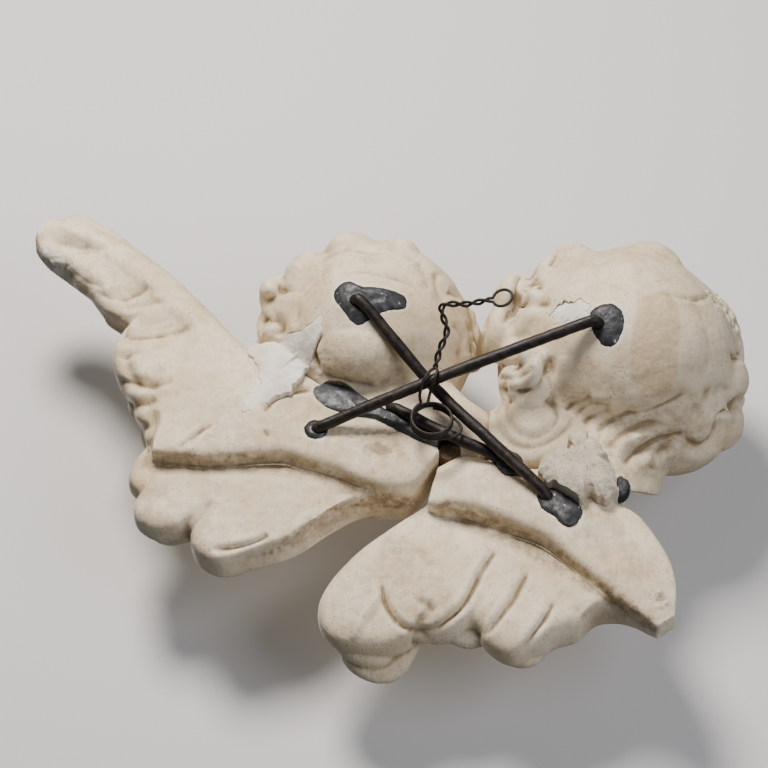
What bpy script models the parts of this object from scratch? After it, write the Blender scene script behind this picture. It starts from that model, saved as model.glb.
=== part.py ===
"""Two winged cherub heads carved in marble, pieced together behind with iron rods, lead and plaster.

The group hangs on a wall from an eye of twisted wire. Every place below is written as somebody sees
the back of the group, in millimetres: right, up, and out, where out is the height above the plane that
the faces touch when the group lies on them. place() turns that into the part's own frame, which has its
origin in the hanging eye, the wall on the side of +Y, and +Z up.
"""

import math

import bmesh
import bpy
import numpy as np

MM = 0.001
EYE = np.array([68.0, -54.5, 150.0])

MARBLE_VOXEL = 2.2
SHARES = {"left_head": 0.034, "right_head": 0.028, "left_wings": 0.024, "right_wing": 0.026}
JOINT = 1.4
ROOM_SHARE = 0.09
FIT = 0.45

ROD_RADIUS = 3.4
WIRE_RADIUS = 0.9
TWIST_RADIUS = 1.2
TWIST_PITCH = 15.0
EYE_HALF = (6.5, 5.1)
EYE_TILT = math.radians(57)
EYE_START = 118.0
COIL_TOP = np.array([27.3, -113.5, 114.8])
COIL_RADIUS = 11.6
COIL_BULGE = 6.0
COIL_TURNS = 2.9
COIL_PITCH = 2.4
DOWEL = dict(centre=np.array([37.5, -120.0]), radius=6.3, low=78.0, high=91.0)
DOWEL_HEADROOM = 9.0


def place(points):
    """From (right, up, out) in millimetres to the part's frame in metres."""
    right, up, out = np.moveaxis(np.asarray(points, float) - EYE, -1, 0)
    return np.stack([-right, out, up], -1) * MM


def unit(vectors):
    vectors = np.asarray(vectors, float)
    return vectors / np.linalg.norm(vectors, axis=-1, keepdims=True)


def step(x, start, end):
    """0 below start, 1 above end, and a smooth ramp between."""
    t = np.clip((np.asarray(x, float) - start) / (end - start), 0, 1)
    return t * t * (3 - 2 * t)


def bump(x, centre, width):
    return np.exp(-(((x - centre) / width) ** 2))


def smooth_line(points, count, closed=False):
    """Points along a Catmull-Rom curve through the given ones."""
    p = np.asarray(points, float)
    if closed:
        p = np.vstack([p[-1], p, p[:2]])
    else:
        p = np.vstack([2 * p[0] - p[1], p, 2 * p[-1] - p[-2]])
    spans = len(p) - 3
    t = np.linspace(0, spans, count, endpoint=not closed)
    k = np.minimum(t.astype(int), spans - 1)
    f = (t - k)[:, None]
    a, b, c, d = p[k], p[k + 1], p[k + 2], p[k + 3]
    return 0.5 * (2 * b + (c - a) * f + (2 * a - 5 * b + 4 * c - d) * f**2 + (3 * b - a - 3 * c + d) * f**3)


def even_line(points, spacing):
    """A smooth curve through the points, with one point for every spacing of its length."""
    fine = smooth_line(points, 40 * len(points))
    run = np.concatenate([[0], np.cumsum(np.linalg.norm(np.diff(fine, axis=0), axis=1))])
    s = np.linspace(0, run[-1], max(3, round(run[-1] / spacing)))
    return np.stack([np.interp(s, run, fine[:, i]) for i in range(3)], 1)


def ring_solid(rings):
    """A closed skin over rings (n, m, 3): neighbouring rings are joined and the two end rings are fanned."""
    n, m, _ = rings.shape
    i, j = np.meshgrid(np.arange(n - 1), np.arange(m), indexing="ij")
    k = (j + 1) % m
    quads = np.stack([i * m + j, i * m + k, (i + 1) * m + k, (i + 1) * m + j], -1).reshape(-1, 4)
    a = np.arange(m)
    b = (a + 1) % m
    first = np.stack([np.full(m, n * m), b, a], -1)
    last = np.stack([np.full(m, n * m + 1), (n - 1) * m + a, (n - 1) * m + b], -1)
    verts = np.vstack([rings.reshape(-1, 3), rings[[0, -1]].mean(1)])
    return verts, quads.tolist() + first.tolist() + last.tolist()


def carried_sides(path, start):
    """A sideways direction at each point of a path, carried along it without twisting."""
    tangent = unit(np.gradient(path, axis=0))
    side = np.empty_like(path)
    side[0] = unit(start - tangent[0] * np.dot(start, tangent[0]))
    for i in range(1, len(path)):
        side[i] = unit(side[i - 1] - tangent[i] * np.dot(side[i - 1], tangent[i]))
    return side, np.cross(tangent, side)


def tube(path, radius, sides=8):
    """A round bar along a path; radius may be one number or one for each point."""
    path = np.asarray(path, float)
    start = np.eye(3)[np.argmin(np.abs(path[1] - path[0]))]
    side, over = carried_sides(path, start)
    angle = np.linspace(0, 2 * math.pi, sides, endpoint=False)
    wheel = np.cos(angle)[None, :, None] * side[:, None] + np.sin(angle)[None, :, None] * over[:, None]
    return ring_solid(path[:, None] + np.broadcast_to(radius, len(path))[:, None, None] * wheel)


def egg(centre, half_axes, axes, rings=36, sides=48, shape=None):
    """An ellipsoid whose poles are at front and back; shape may move its points in its own axes."""
    theta = np.linspace(0, math.pi, rings + 2)[1:-1]
    phi = np.linspace(0, 2 * math.pi, sides, endpoint=False)
    theta, phi = np.meshgrid(theta, phi, indexing="ij")
    way = np.stack([np.sin(theta) * np.cos(phi), np.cos(theta), np.sin(theta) * np.sin(phi)], -1)
    local = way * half_axes
    if shape is not None:
        local = shape(local)
    return ring_solid(centre + local @ axes.T)


def pillow(low, high, back, front, corner, sides=28, rings=30):
    """A thick slab between two edge lines (right, up), from depth front to depth back, its rim rounded."""
    low, high = smooth_line(low, rings), smooth_line(high, rings)
    s = np.linspace(0, 1, rings)
    back = np.interp(s, np.linspace(0, 1, len(back)), back)
    front = np.interp(s, np.linspace(0, 1, len(front)), front)
    corner = np.interp(s, np.linspace(0, 1, len(corner)), corner)[:, None]
    angle = np.linspace(0, 2 * math.pi, sides, endpoint=False)
    across = np.sign(np.cos(angle)) * np.abs(np.cos(angle)) ** (2 / corner)
    through = np.sign(np.sin(angle)) * np.abs(np.sin(angle)) ** (2 / corner)
    flat = (low + high)[:, None] / 2 + across[..., None] * (high - low)[:, None] / 2
    depth = (back + front)[:, None] / 2 + through * (back - front)[:, None] / 2
    return ring_solid(np.concatenate([flat, depth[..., None]], -1))


def feather(root, tip, half, thick, bow=0.0, share=0.55, sides=16, rings=20):
    """One carved feather: it widens from its root, ends in a round tip and has a low shaft on both faces."""
    root, tip = np.asarray(root, float), np.asarray(tip, float)
    length = np.linalg.norm(tip - root)
    ahead = (tip - root) / length
    over = unit(np.array([0, 0, 1.0]) - ahead * ahead[2])
    side = np.cross(over, ahead)
    s = 1 - (1 - np.linspace(0, 1, rings)) ** 1.7
    middle = root + s[:, None] * (tip - root) + (bow * length * np.sin(math.pi * s))[:, None] * side
    nose = np.clip((s - (1 - half / length)) * length / half, 0, 1)
    nose = np.sqrt(np.clip(1 - nose**2.2, 0.004, 1))
    width = half * (share + (1 - share) * np.sin(np.clip(s / 0.75, 0, 1) * math.pi / 2)) * nose
    deep = thick / 2 * (1 - 0.3 * s) * nose**0.7
    angle = np.linspace(0, 2 * math.pi, sides, endpoint=False)
    x = np.sign(np.cos(angle)) * np.abs(np.cos(angle)) ** 0.8
    y = np.sign(np.sin(angle)) * np.abs(np.sin(angle)) ** 0.75 * (1 + 0.14 * bump(x, 0, 0.2))
    rise = deep[:, None] * y[None] - 0.10 * width[:, None] * x[None] ** 2
    return ring_solid(middle[:, None] + (width[:, None] * x[None])[..., None] * side + rise[..., None] * over)


def patch(outline, surface, rise, sink, grow=0.0, headroom=0.0, rings=2, sides=16):
    """A plug cast or smeared into the back: a wavy outline whose top follows the surface behind it."""
    rim = smooth_line(outline, sides, closed=True)
    centre = rim.mean(0)
    along = np.roll(rim, -1, 0) - np.roll(rim, 1, 0)
    aside = unit(np.stack([along[:, 1], -along[:, 0]], 1))
    rim = rim + grow * aside * np.sign((aside * (rim - centre)).sum())
    v = np.linspace(0.45, 1, rings)
    flat = centre + v[:, None, None] * (rim - centre)[None]
    level = surface(flat[..., 0], flat[..., 1])
    top = level + grow + headroom + rise * (1 - v[:, None] ** 4)
    low = level - sink - grow
    top = np.concatenate([flat, top[..., None]], -1)
    low = np.concatenate([flat, low[..., None]], -1)
    return ring_solid(np.concatenate([top, low[::-1]]))


def head_axes(lean, turn):
    """Columns are the head's own right, back and crown: it leans in the wall's plane, then turns its face."""
    lean, turn = math.radians(lean), math.radians(turn)
    right = np.array([math.cos(lean), -math.sin(lean), 0])
    crown = np.array([math.sin(lean), math.cos(lean), 0])
    back = np.array([0, 0, 1.0])
    turned_right = math.cos(turn) * right + math.sin(turn) * back
    turned_back = math.cos(turn) * back - math.sin(turn) * right
    return np.stack([turned_right, turned_back, crown], 1)


SKULL = np.array([0.90, 0.92, 0.87])
SKULL_CENTRE = np.array([0, 0.08, 0.0])
FACE = np.array([0.64, 0.76, 0.70])
FACE_CENTRE = np.array([0, -0.17, -0.24])

LEFT_HEAD = dict(
    centre=np.array([-7.0, -27.0, 69.5]), size=68.0, axes=head_axes(-8, 9),
    necks=[dict(line=[(-2, -45, 66), (3, -70, 66), (2, -98, 66)],
                across=[36, 37, 37], deep=[32, 34, 33]),
           dict(line=[(8, -62, 72), (28, -89, 75), (45, -105, 76), (60, -117, 74)],
                across=[28, 26, 25, 17], deep=[27, 24, 22, 18])],
    curls=[(74, 0.50, -84, -40, 2, 0.12), (92, 0.48, -86, 27, 5, 0.0), (94, 0.42, 55, 112, 3, 0.16),
           (114, 0.43, -92, 96, 8, 0.0), (130, 0.38, -40, 40, 3, 0.0)],
    masses=[dict(centre=(-14, -62, 78), half=(33, 29, 26)),
            dict(centre=(-62.4, -9.4, 95), half=(12, 14, 12.5)),
            dict(centre=(-45, 3, 104), half=(13, 13, 12)),
            dict(centre=(-20, 9.5, 110), half=(17, 15, 14)),
            dict(centre=(8, 10, 108.5), half=(14, 13, 11)),
            dict(centre=(-67.8, -23, 81.5), half=(8, 12, 12))])
RIGHT_HEAD = dict(
    centre=np.array([140.0, -45.0, 74.5]), size=74.0, axes=head_axes(20, -8),
    necks=[dict(line=[(138, -60, 68), (132, -95, 68), (125, -127, 66)],
                across=[34, 34, 35], deep=[33, 32, 30], lean=0.73),
           dict(line=[(128, -75, 74), (98, -94, 74), (74, -107, 74), (58, -112, 73)],
                across=[34, 32, 27, 20], deep=[28, 27, 24, 20])],
    curls=[(74, 0.50, -96, -22, 3, 0.14), (92, 0.48, -112, 116, 9, 0.02), (114, 0.43, -100, 100, 8, 0.0),
           (130, 0.38, -40, 40, 3, 0.0), (84, 0.48, -100, -138, 2, -0.27)],
    masses=[dict(centre=(163, -80, 72), half=(40, 33, 35)),
            dict(centre=(174, -29, 78), half=(38, 34, 38)),
            dict(centre=(76, -15, 104.5), half=(11, 14, 15)),
            dict(centre=(98, -8, 113), half=(11, 13, 12)),
            dict(centre=(113, -3, 115.5), half=(17, 15, 14)),
            dict(centre=(157, -6, 119.5), half=(20, 16, 14.5)),
            dict(centre=(199, -60, 80), half=(16, 17, 17)),
            dict(centre=(196, -78, 62), half=(16, 17, 17))])


def face_relief(x, z):
    """How far the face stands forward of a plain egg; x is across and z up, both in head sizes."""
    across = np.abs(x)
    eye_x, eye_z = 0.27, -0.10
    lid = np.clip(1 - ((across - eye_x) / 0.145) ** 2, 0, 1) ** 0.5
    ball = np.clip(1 - ((across - eye_x) / 0.125) ** 2 - ((z - eye_z) / 0.095) ** 2, 0, 1) ** 0.5
    nose_run = step(z, -0.42, -0.34) * (1 - step(z, -0.06, 0.10))
    slope = 0.055 + 0.12 * (1 - step(z, -0.36, 0.02))
    mouth = bump(z, -0.545 + 0.35 * x**2, 0.014) * np.exp(-((across / 0.15) ** 4))
    return (
        0.030 * bump(across, 0.24, 0.20) * bump(z, 0.10, 0.06)
        - 0.085 * bump(across, eye_x, 0.15) * bump(z, eye_z + 0.01, 0.10)
        + 0.075 * ball
        + 0.016 * lid * bump(z, eye_z + 0.062 * lid, 0.018)
        + 0.012 * lid * bump(z, eye_z - 0.060 * lid, 0.016)
        + slope * nose_run * bump(x, 0, 0.062)
        + 0.060 * bump(x, 0, 0.07) * bump(z, -0.33, 0.06)
        + 0.065 * bump(across, 0.085, 0.045) * bump(z, -0.36, 0.045)
        + 0.060 * bump(across, 0.36, 0.17) * bump(z, -0.36, 0.17)
        + 0.055 * bump(x, 0, 0.19) * bump(z, -0.54, 0.12)
        + 0.030 * np.exp(-((across / 0.12) ** 4)) * bump(z, -0.500, 0.030)
        + 0.034 * np.exp(-((across / 0.09) ** 4)) * bump(z, -0.590, 0.030)
        - 0.040 * mouth
        - 0.020 * bump(x, 0, 0.025) * bump(z, -0.45, 0.03)
        - 0.030 * bump(x, 0, 0.12) * bump(z, -0.660, 0.030)
        + 0.070 * bump(x, 0, 0.14) * bump(z, -0.745, 0.075))


def face(head, rings=60, sides=72):
    """The face is an egg of its own, narrower to the chin, set low in front of the skull."""
    size = head["size"]

    def carve(local):
        x, y, z = np.moveaxis(local, -1, 0)
        x = x * (1 - 0.20 * step(-z / size, 0.10, 0.62))
        front = step(-y / size, 0.05, 0.40)
        y = y - front * size * face_relief(x / size, z / size + FACE_CENTRE[2])
        return np.stack([x, y, z], -1)

    centre = head["centre"] + head["axes"] @ (FACE_CENTRE * size)
    return egg(centre, FACE * size, head["axes"], rings, sides, carve)


def skull(head, grow=0.0):
    centre = head["centre"] + head["axes"] @ (SKULL_CENTRE * head["size"])
    return egg(centre, SKULL * head["size"] + grow, head["axes"])


def skull_back(head):
    """The height of the skull's back at a place (right, up)."""
    centre = head["centre"] + head["axes"] @ (SKULL_CENTRE * head["size"])
    half = SKULL * head["size"]

    def height(right, up):
        flat = np.stack([right, up, np.zeros_like(right)], -1) - centre
        base = flat @ head["axes"] / half
        way = head["axes"][2] / half
        a, b, c = way @ way, 2 * base @ way, (base**2).sum(-1) - 1
        return (-b + np.sqrt(np.clip(b * b - 4 * a * c, 0, None))) / (2 * a)

    return height


def stalk(line, across, deep, lean=0.0, grow=0.0, rings=8, sides=24):
    """An oval column in the wall's plane; with lean, its end face runs further on at the back."""
    line = smooth_line(line, rings)
    across = np.interp(np.linspace(0, 1, rings), np.linspace(0, 1, len(across)), across) + grow
    deep = np.interp(np.linspace(0, 1, rings), np.linspace(0, 1, len(deep)), deep) + grow
    ahead = unit(line[-1] - line[0])
    line = line + np.linspace(-grow, grow, rings)[:, None] * ahead
    out = np.array([0, 0, 1.0])
    angle = np.linspace(0, 2 * math.pi, sides, endpoint=False)
    sideways = across[:, None, None] * np.cos(angle)[None, :, None] * unit(np.cross(ahead, out))
    outwards = deep[:, None, None] * np.sin(angle)[None, :, None] * (out + lean * ahead)
    return ring_solid(line[:, None] + sideways + outwards)


def necks(head, grow=0.0):
    """The neck below the skull and the shoulder that runs from it to the middle of the group."""
    return [stalk(**form, grow=grow) for form in head["necks"]]


def curl(head, polar, azimuth, size, hand, sunk, grow=0.0, turns=1.1, sides=9, steps=18):
    """A snail-shaped lock on the skull; polar is the angle from the back, azimuth the one from the crown."""
    polar, azimuth = math.radians(polar), math.radians(azimuth)
    ring = math.sin(polar)
    way = np.array([ring * math.sin(azimuth), math.cos(polar), ring * math.cos(azimuth)])
    half = SKULL * head["size"]
    reach = 1 / np.linalg.norm(way / half)
    normal = unit(way / half)
    first = unit(np.cross(normal, [0, 1.0, 0]))
    second = np.cross(normal, first) * hand
    t = np.linspace(-0.3, 1, steps)[:, None]
    swing = 2 * math.pi * turns * t
    wound = np.clip(t, 0, 1)
    spread = size * (0.34 - 0.27 * wound) * (1 + 1.5 * np.clip(-t, 0, 1))
    lift = size * (0.02 - sunk + 0.16 * wound**1.5 + 0.45 * np.clip(t, -1, 0))
    lift = lift - spread**2 / (2 * head["size"] * 0.9)
    centre = SKULL_CENTRE * head["size"] + way * reach
    path = centre + spread * (np.cos(swing) * first + np.sin(swing) * second) + lift * normal
    thick = size * (0.225 - 0.06 * wound[:, 0]) + grow
    return tube(head["centre"] + path @ head["axes"].T, thick, sides)


def hair(head, grow=0.0):
    """Rows of curls from the soft ones behind to the full ones round the face."""
    locks = []
    for polar, share, start, end, count, sunk in head["curls"]:
        for i in range(count):
            azimuth = start + (end - start) * i / (count - 1)
            sway = math.sin(2.4 * i + polar)
            size = share * head["size"] * (1 + 0.12 * math.cos(1.9 * i + polar))
            locks.append(curl(head, polar + 5 * sway, azimuth, size, 1 if i % 2 else -1, sunk, grow))
    return locks


def head_shapes(head, grow=0.0):
    bulges = [egg(np.array(form["centre"], float), np.array(form["half"]) + grow, head["axes"])
              for form in head["masses"]]
    return [skull(head, grow), *bulges, *necks(head, grow), *hair(head, grow)]


def left_wing_shapes():
    """A flat-backed slab with a ledge, the raised wing above it and the lower blade with a broken edge."""
    slab = pillow(
        [(-134, -122), (-117, -124), (-102, -126), (-85, -125), (-59, -124), (-48, -128), (-28, -135),
         (-12, -143), (1, -146), (12, -147), (21, -141), (28, -128)],
        [(-128, -90), (-104, -48), (-75, -50), (-50, -58), (-34, -76), (-12, -88), (12, -100), (38, -115)],
        [94, 96, 97, 98, 98, 97, 96, 95], [66, 58, 54, 52, 52, 54, 60, 64], [8, 8])
    raised = pillow(
        [(-100, -122), (-134, -112), (-139, -99), (-143, -89), (-146, -82), (-149, -72), (-154, -64),
         (-158, -55), (-160, -45), (-158, -34), (-151, -25), (-157, -18), (-166, -10), (-172, -1), (-178, 8),
         (-184, 13), (-188, 19), (-190, 25), (-196, 25), (-201, 28), (-205, 32), (-209, 38), (-212, 45),
         (-210, 50)],
        [(-40, -66), (-77, -44), (-87, -36), (-97, -29), (-107, -19), (-115, -5), (-125, 12), (-138, 28),
         (-151, 41), (-165, 54), (-178, 62), (-187, 65), (-196, 63), (-204, 59), (-210, 52)],
        [97, 95, 92, 91, 90, 88], [54, 58, 62, 66, 68, 70], [3, 3], rings=96)
    blade = pillow(
        [(-134, -106), (-142, -113), (-147, -122), (-147, -130), (-141, -139), (-144, -147), (-142, -156),
         (-136, -162), (-128, -165), (-119, -165), (-111, -163), (-110, -172), (-106, -181), (-100, -186),
         (-92, -188), (-82, -185), (-70, -181), (-58, -177), (-47, -170), (-38, -160), (-28, -154),
         (-14, -148), (0, -146), (11, -144), (20, -139)],
        [(-128, -98), (-100, -104), (-60, -110), (-20, -118), (14, -128), (23, -131)],
        [80, 82, 84, 85, 85, 84], [60, 56, 55, 56, 60, 64], [3.4, 3.4, 3.4, 6, 8, 8],
        rings=96)
    arm_line = smooth_line([(-40, -82, 74), (-82, -62, 76), (-104, -38, 78), (-122, -14, 80), (-142, 10, 81),
                            (-168, 34, 81), (-187, 49, 81), (-195, 53, 81)], 40)
    blade_feathers = [
        feather((-60, -120, 64), (-143, -121, 62), 15, 22, -0.02),
        feather((-50, -130, 65), (-138, -151, 62), 18, 22, -0.03),
        feather((-35, -138, 65), (-100, -179, 62), 15, 22, -0.02)]
    raised_feathers = [
        feather((-100, -32, 75), (-206, 49, 74), 10, 20, 0.03),
        feather((-90, -42, 75), (-183, 32, 73), 12, 22, 0.03),
        feather((-85, -52, 74), (-166, 8, 72), 13, 23, 0.02),
        feather((-70, -68, 73), (-157, -40, 70), 17, 25, -0.02),
        feather((-65, -82, 72), (-151, -66, 68), 13, 25, -0.03),
        feather((-62, -96, 72), (-143, -88, 66), 14, 25, -0.04)]
    arm = tube(arm_line, np.linspace(21, 10, len(arm_line)), 18)
    return [slab, raised, blade, arm, *blade_feathers, *raised_feathers]


def right_wing_shapes():
    """A curved band with a ledge, a fan of broad overlapping feathers under it, and a root below the neck."""
    band = pillow(
        [(24, -155), (32, -158), (39, -158), (54, -162), (66, -168), (75, -173), (91, -181), (104, -193),
         (117, -207), (131, -221), (143, -231), (152, -238)],
        [(31, -129), (45, -122), (60, -127), (83, -142), (105, -148), (128, -154), (144, -163), (156, -182),
         (164, -206), (163, -230)],
        [90, 93, 95, 96, 96, 95, 93, 92, 90, 86], [60, 54, 50, 50, 50, 50, 52, 60, 68, 72], [7, 7])
    blade = pillow(
        [(21, -151), (7, -162), (-10, -175), (-22, -187), (-32, -200), (-37, -211), (-37, -221), (-33, -230),
         (-26, -237), (-15, -241), (0, -242), (11, -238), (18, -230), (26, -233), (33, -233), (42, -231),
         (49, -227), (54, -230), (55, -236), (60, -242), (67, -247), (74, -248), (82, -244), (90, -240),
         (96, -236), (108, -232), (112, -226), (118, -221), (125, -220), (133, -221), (142, -225)],
        [(33, -140), (45, -148), (70, -158), (95, -172), (120, -196), (150, -214)],
        [78, 80, 82, 83, 83, 82], [50, 48, 50, 50, 52, 60], [3, 3], rings=110)
    feathers = [
        feather((38, -148, 60), (-17, -243, 58), 23, 22, -0.09),
        feather((40, -160, 54), (-13, -248, 50), 22, 17, -0.04),
        feather((56, -155, 64), (13, -230, 64), 22, 21, -0.03),
        feather((80, -165, 63), (38, -232, 61), 18, 20, -0.03),
        feather((104, -178, 61), (68, -244, 59), 19, 21, -0.04)]
    root = pillow(
        [(42, -134), (85, -160), (122, -178), (138, -176)],
        [(44, -118), (84, -122), (118, -128), (138, -140)], [86, 87, 86, 82], [54, 47, 44, 52], [4, 4])
    return [band, blade, root, *feathers]


SLAB_LEVEL = 98.0
MORTAR_LEVEL = 101.0
PLASTER_LAP = 0.4
HEADROOM = 8.0


def level(height):
    return lambda right, up: np.full_like(right, height)


def plaster_rise(right, up):
    """The plaster climbs from the wing's back and laps over the side of the head."""
    return np.maximum(97.0 + 6.0 * step(right, -74, -48), skull_back(LEFT_HEAD)(right, up) + PLASTER_LAP)


def disc(centre, radius, count=6):
    angle = np.arange(count) * 2 * math.pi / count
    return np.asarray(centre, float) + radius * np.stack([np.cos(angle), np.sin(angle)], 1)


FILLINGS = {
    "lead_left_head": dict(
        outline=[(-29, -38), (-22, -31), (-12, -35.5), (1, -36), (11.5, -39.5), (12, -46), (1, -49.5),
                 (-7, -54), (-15, -57), (-22, -51)],
        surface=skull_back(LEFT_HEAD), rise=1.6, sink=8.0),
    "lead_right_head": dict(
        outline=[(120, -58), (131, -56.5), (137, -64), (136, -73), (131, -79.5), (124, -77), (119, -67)],
        surface=skull_back(RIGHT_HEAD), rise=1.4, sink=8.0),
    "lead_left_wing": dict(
        outline=disc((-39, -110), 6.8), surface=level(SLAB_LEVEL - 0.5), rise=2.2, sink=8.0),
    "lead_seam": dict(
        outline=[(-41, -82), (-34, -76), (-21, -79), (-8, -89), (4, -97), (22, -101), (35, -108), (42, -117),
                 (36, -121), (22, -117), (7, -108), (-6, -101), (-20, -99), (-34, -93)],
        surface=level(SLAB_LEVEL), rise=1.8, sink=9.0),
    "lead_middle": dict(
        outline=[(64, -131), (66, -137), (71, -141), (77, -139), (79.5, -133), (77, -127), (71, -124),
                 (66, -126)],
        surface=level(97.5), rise=1.5, sink=9.0),
    "lead_neck": dict(
        outline=[(131, -150), (135, -154), (140, -149), (139, -143), (134, -141)],
        surface=level(94.0), rise=1.5, sink=8.0),
    "lead_right_wing": dict(
        outline=[(88, -154), (96, -150), (107, -158), (112, -165), (109, -173), (103, -176), (96, -169),
                 (89, -163)],
        surface=level(96.0), rise=1.8, sink=10.0),
    "plaster_left": dict(
        outline=[(-79, -46), (-70, -45), (-60, -47), (-48, -50), (-38, -48), (-36, -55), (-42, -66),
                 (-48, -73), (-51, -79), (-54, -84), (-62, -86), (-68, -90), (-76, -94), (-83, -94),
                 (-80, -86), (-72, -76), (-74, -65), (-77, -56)],
        surface=plaster_rise, rise=1.2, sink=9.0, sides=18),
    "plaster_right_head": dict(
        outline=[(98, -49.5), (105, -48), (116, -51.5), (118, -57), (116, -62.5), (107, -61.5), (99, -58)],
        surface=skull_back(RIGHT_HEAD), rise=0.8, sink=4.0),
    "mortar_right": dict(
        outline=[(90, -131), (94, -127), (98, -125), (102, -128), (105, -127), (106, -120), (109, -114),
                 (113, -111), (117, -114), (121, -120), (127, -129), (129, -136), (131, -145), (134, -150),
                 (132, -156), (127, -161), (122, -159), (116, -158), (111, -162), (105, -161), (97, -155),
                 (91, -149), (90, -142)],
        surface=level(MORTAR_LEVEL), rise=7.0, sink=14.0, sides=20),
}

RODS = {
    "rod_down": [(-19, -41, 129), (-16, -44, 135), (-10, -49.5, 135.5), (28, -90.5, 114.5), (60, -124, 107.5),
                 (84, -148, 102), (91, -155, 98.5), (96, -160, 90)],
    "rod_cross": [(-42, -111, 92), (-38, -110, 99), (-31, -108.5, 103), (28, -92.5, 122.2), (111, -70, 144),
                  (120, -67.5, 144.5), (127, -66, 138)],
    "rod_short": [(0, -91, 93), (7, -96, 99.5), (17, -103.5, 101.5), (32, -113.5, 102), (42, -119.5, 102),
                  (51, -123.5, 101), (60, -127, 99), (69, -130, 92)],
}


def rod(name, grow=0.0):
    return tube(RODS[name], ROD_RADIUS + grow, 8)


def dowel_tube(grow=0.0, headroom=0.0):
    """The round peg between its low and high ends; its hole is wider, deeper and open at the back."""
    low, high = DOWEL["low"], DOWEL["high"]
    line = [(*DOWEL["centre"], out) for out in (low - grow, (low + high) / 2, high + headroom)]
    return tube(line, DOWEL["radius"] + grow, 14)


def wire_line():
    """One wire: spare turns in a coil, up over the rods, twisted with itself to the eye and back down."""
    swing = np.linspace(0, 2 * math.pi * COIL_TURNS, round(11 * COIL_TURNS))[:, None]
    turn = math.radians(122) + 2 * math.pi * COIL_TURNS - swing
    aside = (turn - math.radians(-18) + math.pi) % (2 * math.pi) - math.pi
    reach = COIL_RADIUS + COIL_BULGE * bump(aside, 0, 0.55) * (1 - step(swing, 5.2, 8.0))
    coil = COIL_TOP + np.concatenate([
        reach * np.cos(turn), reach * np.sin(turn), -COIL_PITCH * (COIL_TURNS - swing / 2 / math.pi)], 1)

    stem = even_line([(29.5, -87, 127.5), (32, -79, 133), (36, -71, 140), (33.5, -64, 146), (33, -61, 149.5),
                      (37, -59.5, 150.5), (48, -59, 150), (60, -56, 150)], 2.4)[::-1]
    side, over = carried_sides(stem, np.array([0, 1.0, 0]))
    run = np.concatenate([[0], np.cumsum(np.linalg.norm(np.diff(stem, axis=0), axis=1))])[:, None]
    wound = 2 * math.pi * run / TWIST_PITCH
    offset = TWIST_RADIUS * (np.cos(wound) * side + np.sin(wound) * over)

    alpha = np.radians(np.linspace(EYE_START, EYE_START - 332, 16))[:, None]
    along = np.array([math.cos(EYE_TILT), math.sin(EYE_TILT), 0])
    across = np.array([-math.sin(EYE_TILT), math.cos(EYE_TILT), 0])
    eye = EYE + EYE_HALF[0] * np.cos(alpha) * along + EYE_HALF[1] * np.sin(alpha) * across

    up_to_stem = even_line([coil[-1], (20.5, -101, 120), (23, -95, 126), (26.5, -90, 127.6),
                            (stem + offset)[-1]], 3.0)
    down_to_end = even_line([(stem - offset)[-1], (30.5, -90, 127.9), (29, -95, 127), (26.5, -100, 120.5),
                             (25, -105, 116.5)], 3.0)
    going, coming = (stem + offset)[::-1], stem - offset
    return np.concatenate([coil, up_to_stem[1:-1], going, eye, coming, down_to_end[1:]])


def make_material(name, colour, roughness, metallic=0.0):
    material = bpy.data.materials.new(name)
    material.use_nodes = True
    shader = material.node_tree.nodes["Principled BSDF"]
    shader.inputs["Base Color"].default_value = (*colour, 1)
    shader.inputs["Roughness"].default_value = roughness
    shader.inputs["Metallic"].default_value = metallic
    return material


def make_object(name, shapes, material=None):
    """One object from one or more closed shapes, with every face turned outwards."""
    verts, faces, count = [], [], 0
    for points, polygons in shapes:
        verts.append(place(points))
        faces += [[index + count for index in polygon] for polygon in polygons]
        count += len(points)
    mesh = bpy.data.meshes.new(name)
    mesh.from_pydata(np.vstack(verts).tolist(), [], faces)
    work = bmesh.new()
    work.from_mesh(mesh)
    bmesh.ops.recalc_face_normals(work, faces=work.faces)
    work.to_mesh(mesh)
    work.free()
    thing = bpy.data.objects.new(name, mesh)
    bpy.context.collection.objects.link(thing)
    if material:
        mesh.materials.append(material)
    return thing


def fuse(thing, keep):
    """Melt the overlapping shapes of an object into one skin, then thin it to a share of its faces."""
    remesh = thing.modifiers.new("fuse", "REMESH")
    remesh.mode = "VOXEL"
    remesh.voxel_size = MARBLE_VOXEL * MM
    soften = thing.modifiers.new("soften", "SMOOTH")
    soften.factor = 0.5
    soften.iterations = 2
    thin = thing.modifiers.new("thin", "DECIMATE")
    thin.ratio = keep


def make_cutter(name, *shapes):
    thing = make_object(name, shapes)
    thing.hide_render = True
    thing.display_type = "WIRE"
    return thing


def cut(thing, *tools):
    for tool in tools:
        boolean = thing.modifiers.new(tool.name, "BOOLEAN")
        boolean.operation = "DIFFERENCE"
        boolean.solver = "EXACT"
        boolean.object = tool


def clear_scene():
    for thing in list(bpy.data.objects):
        bpy.data.objects.remove(thing, do_unlink=True)


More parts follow.
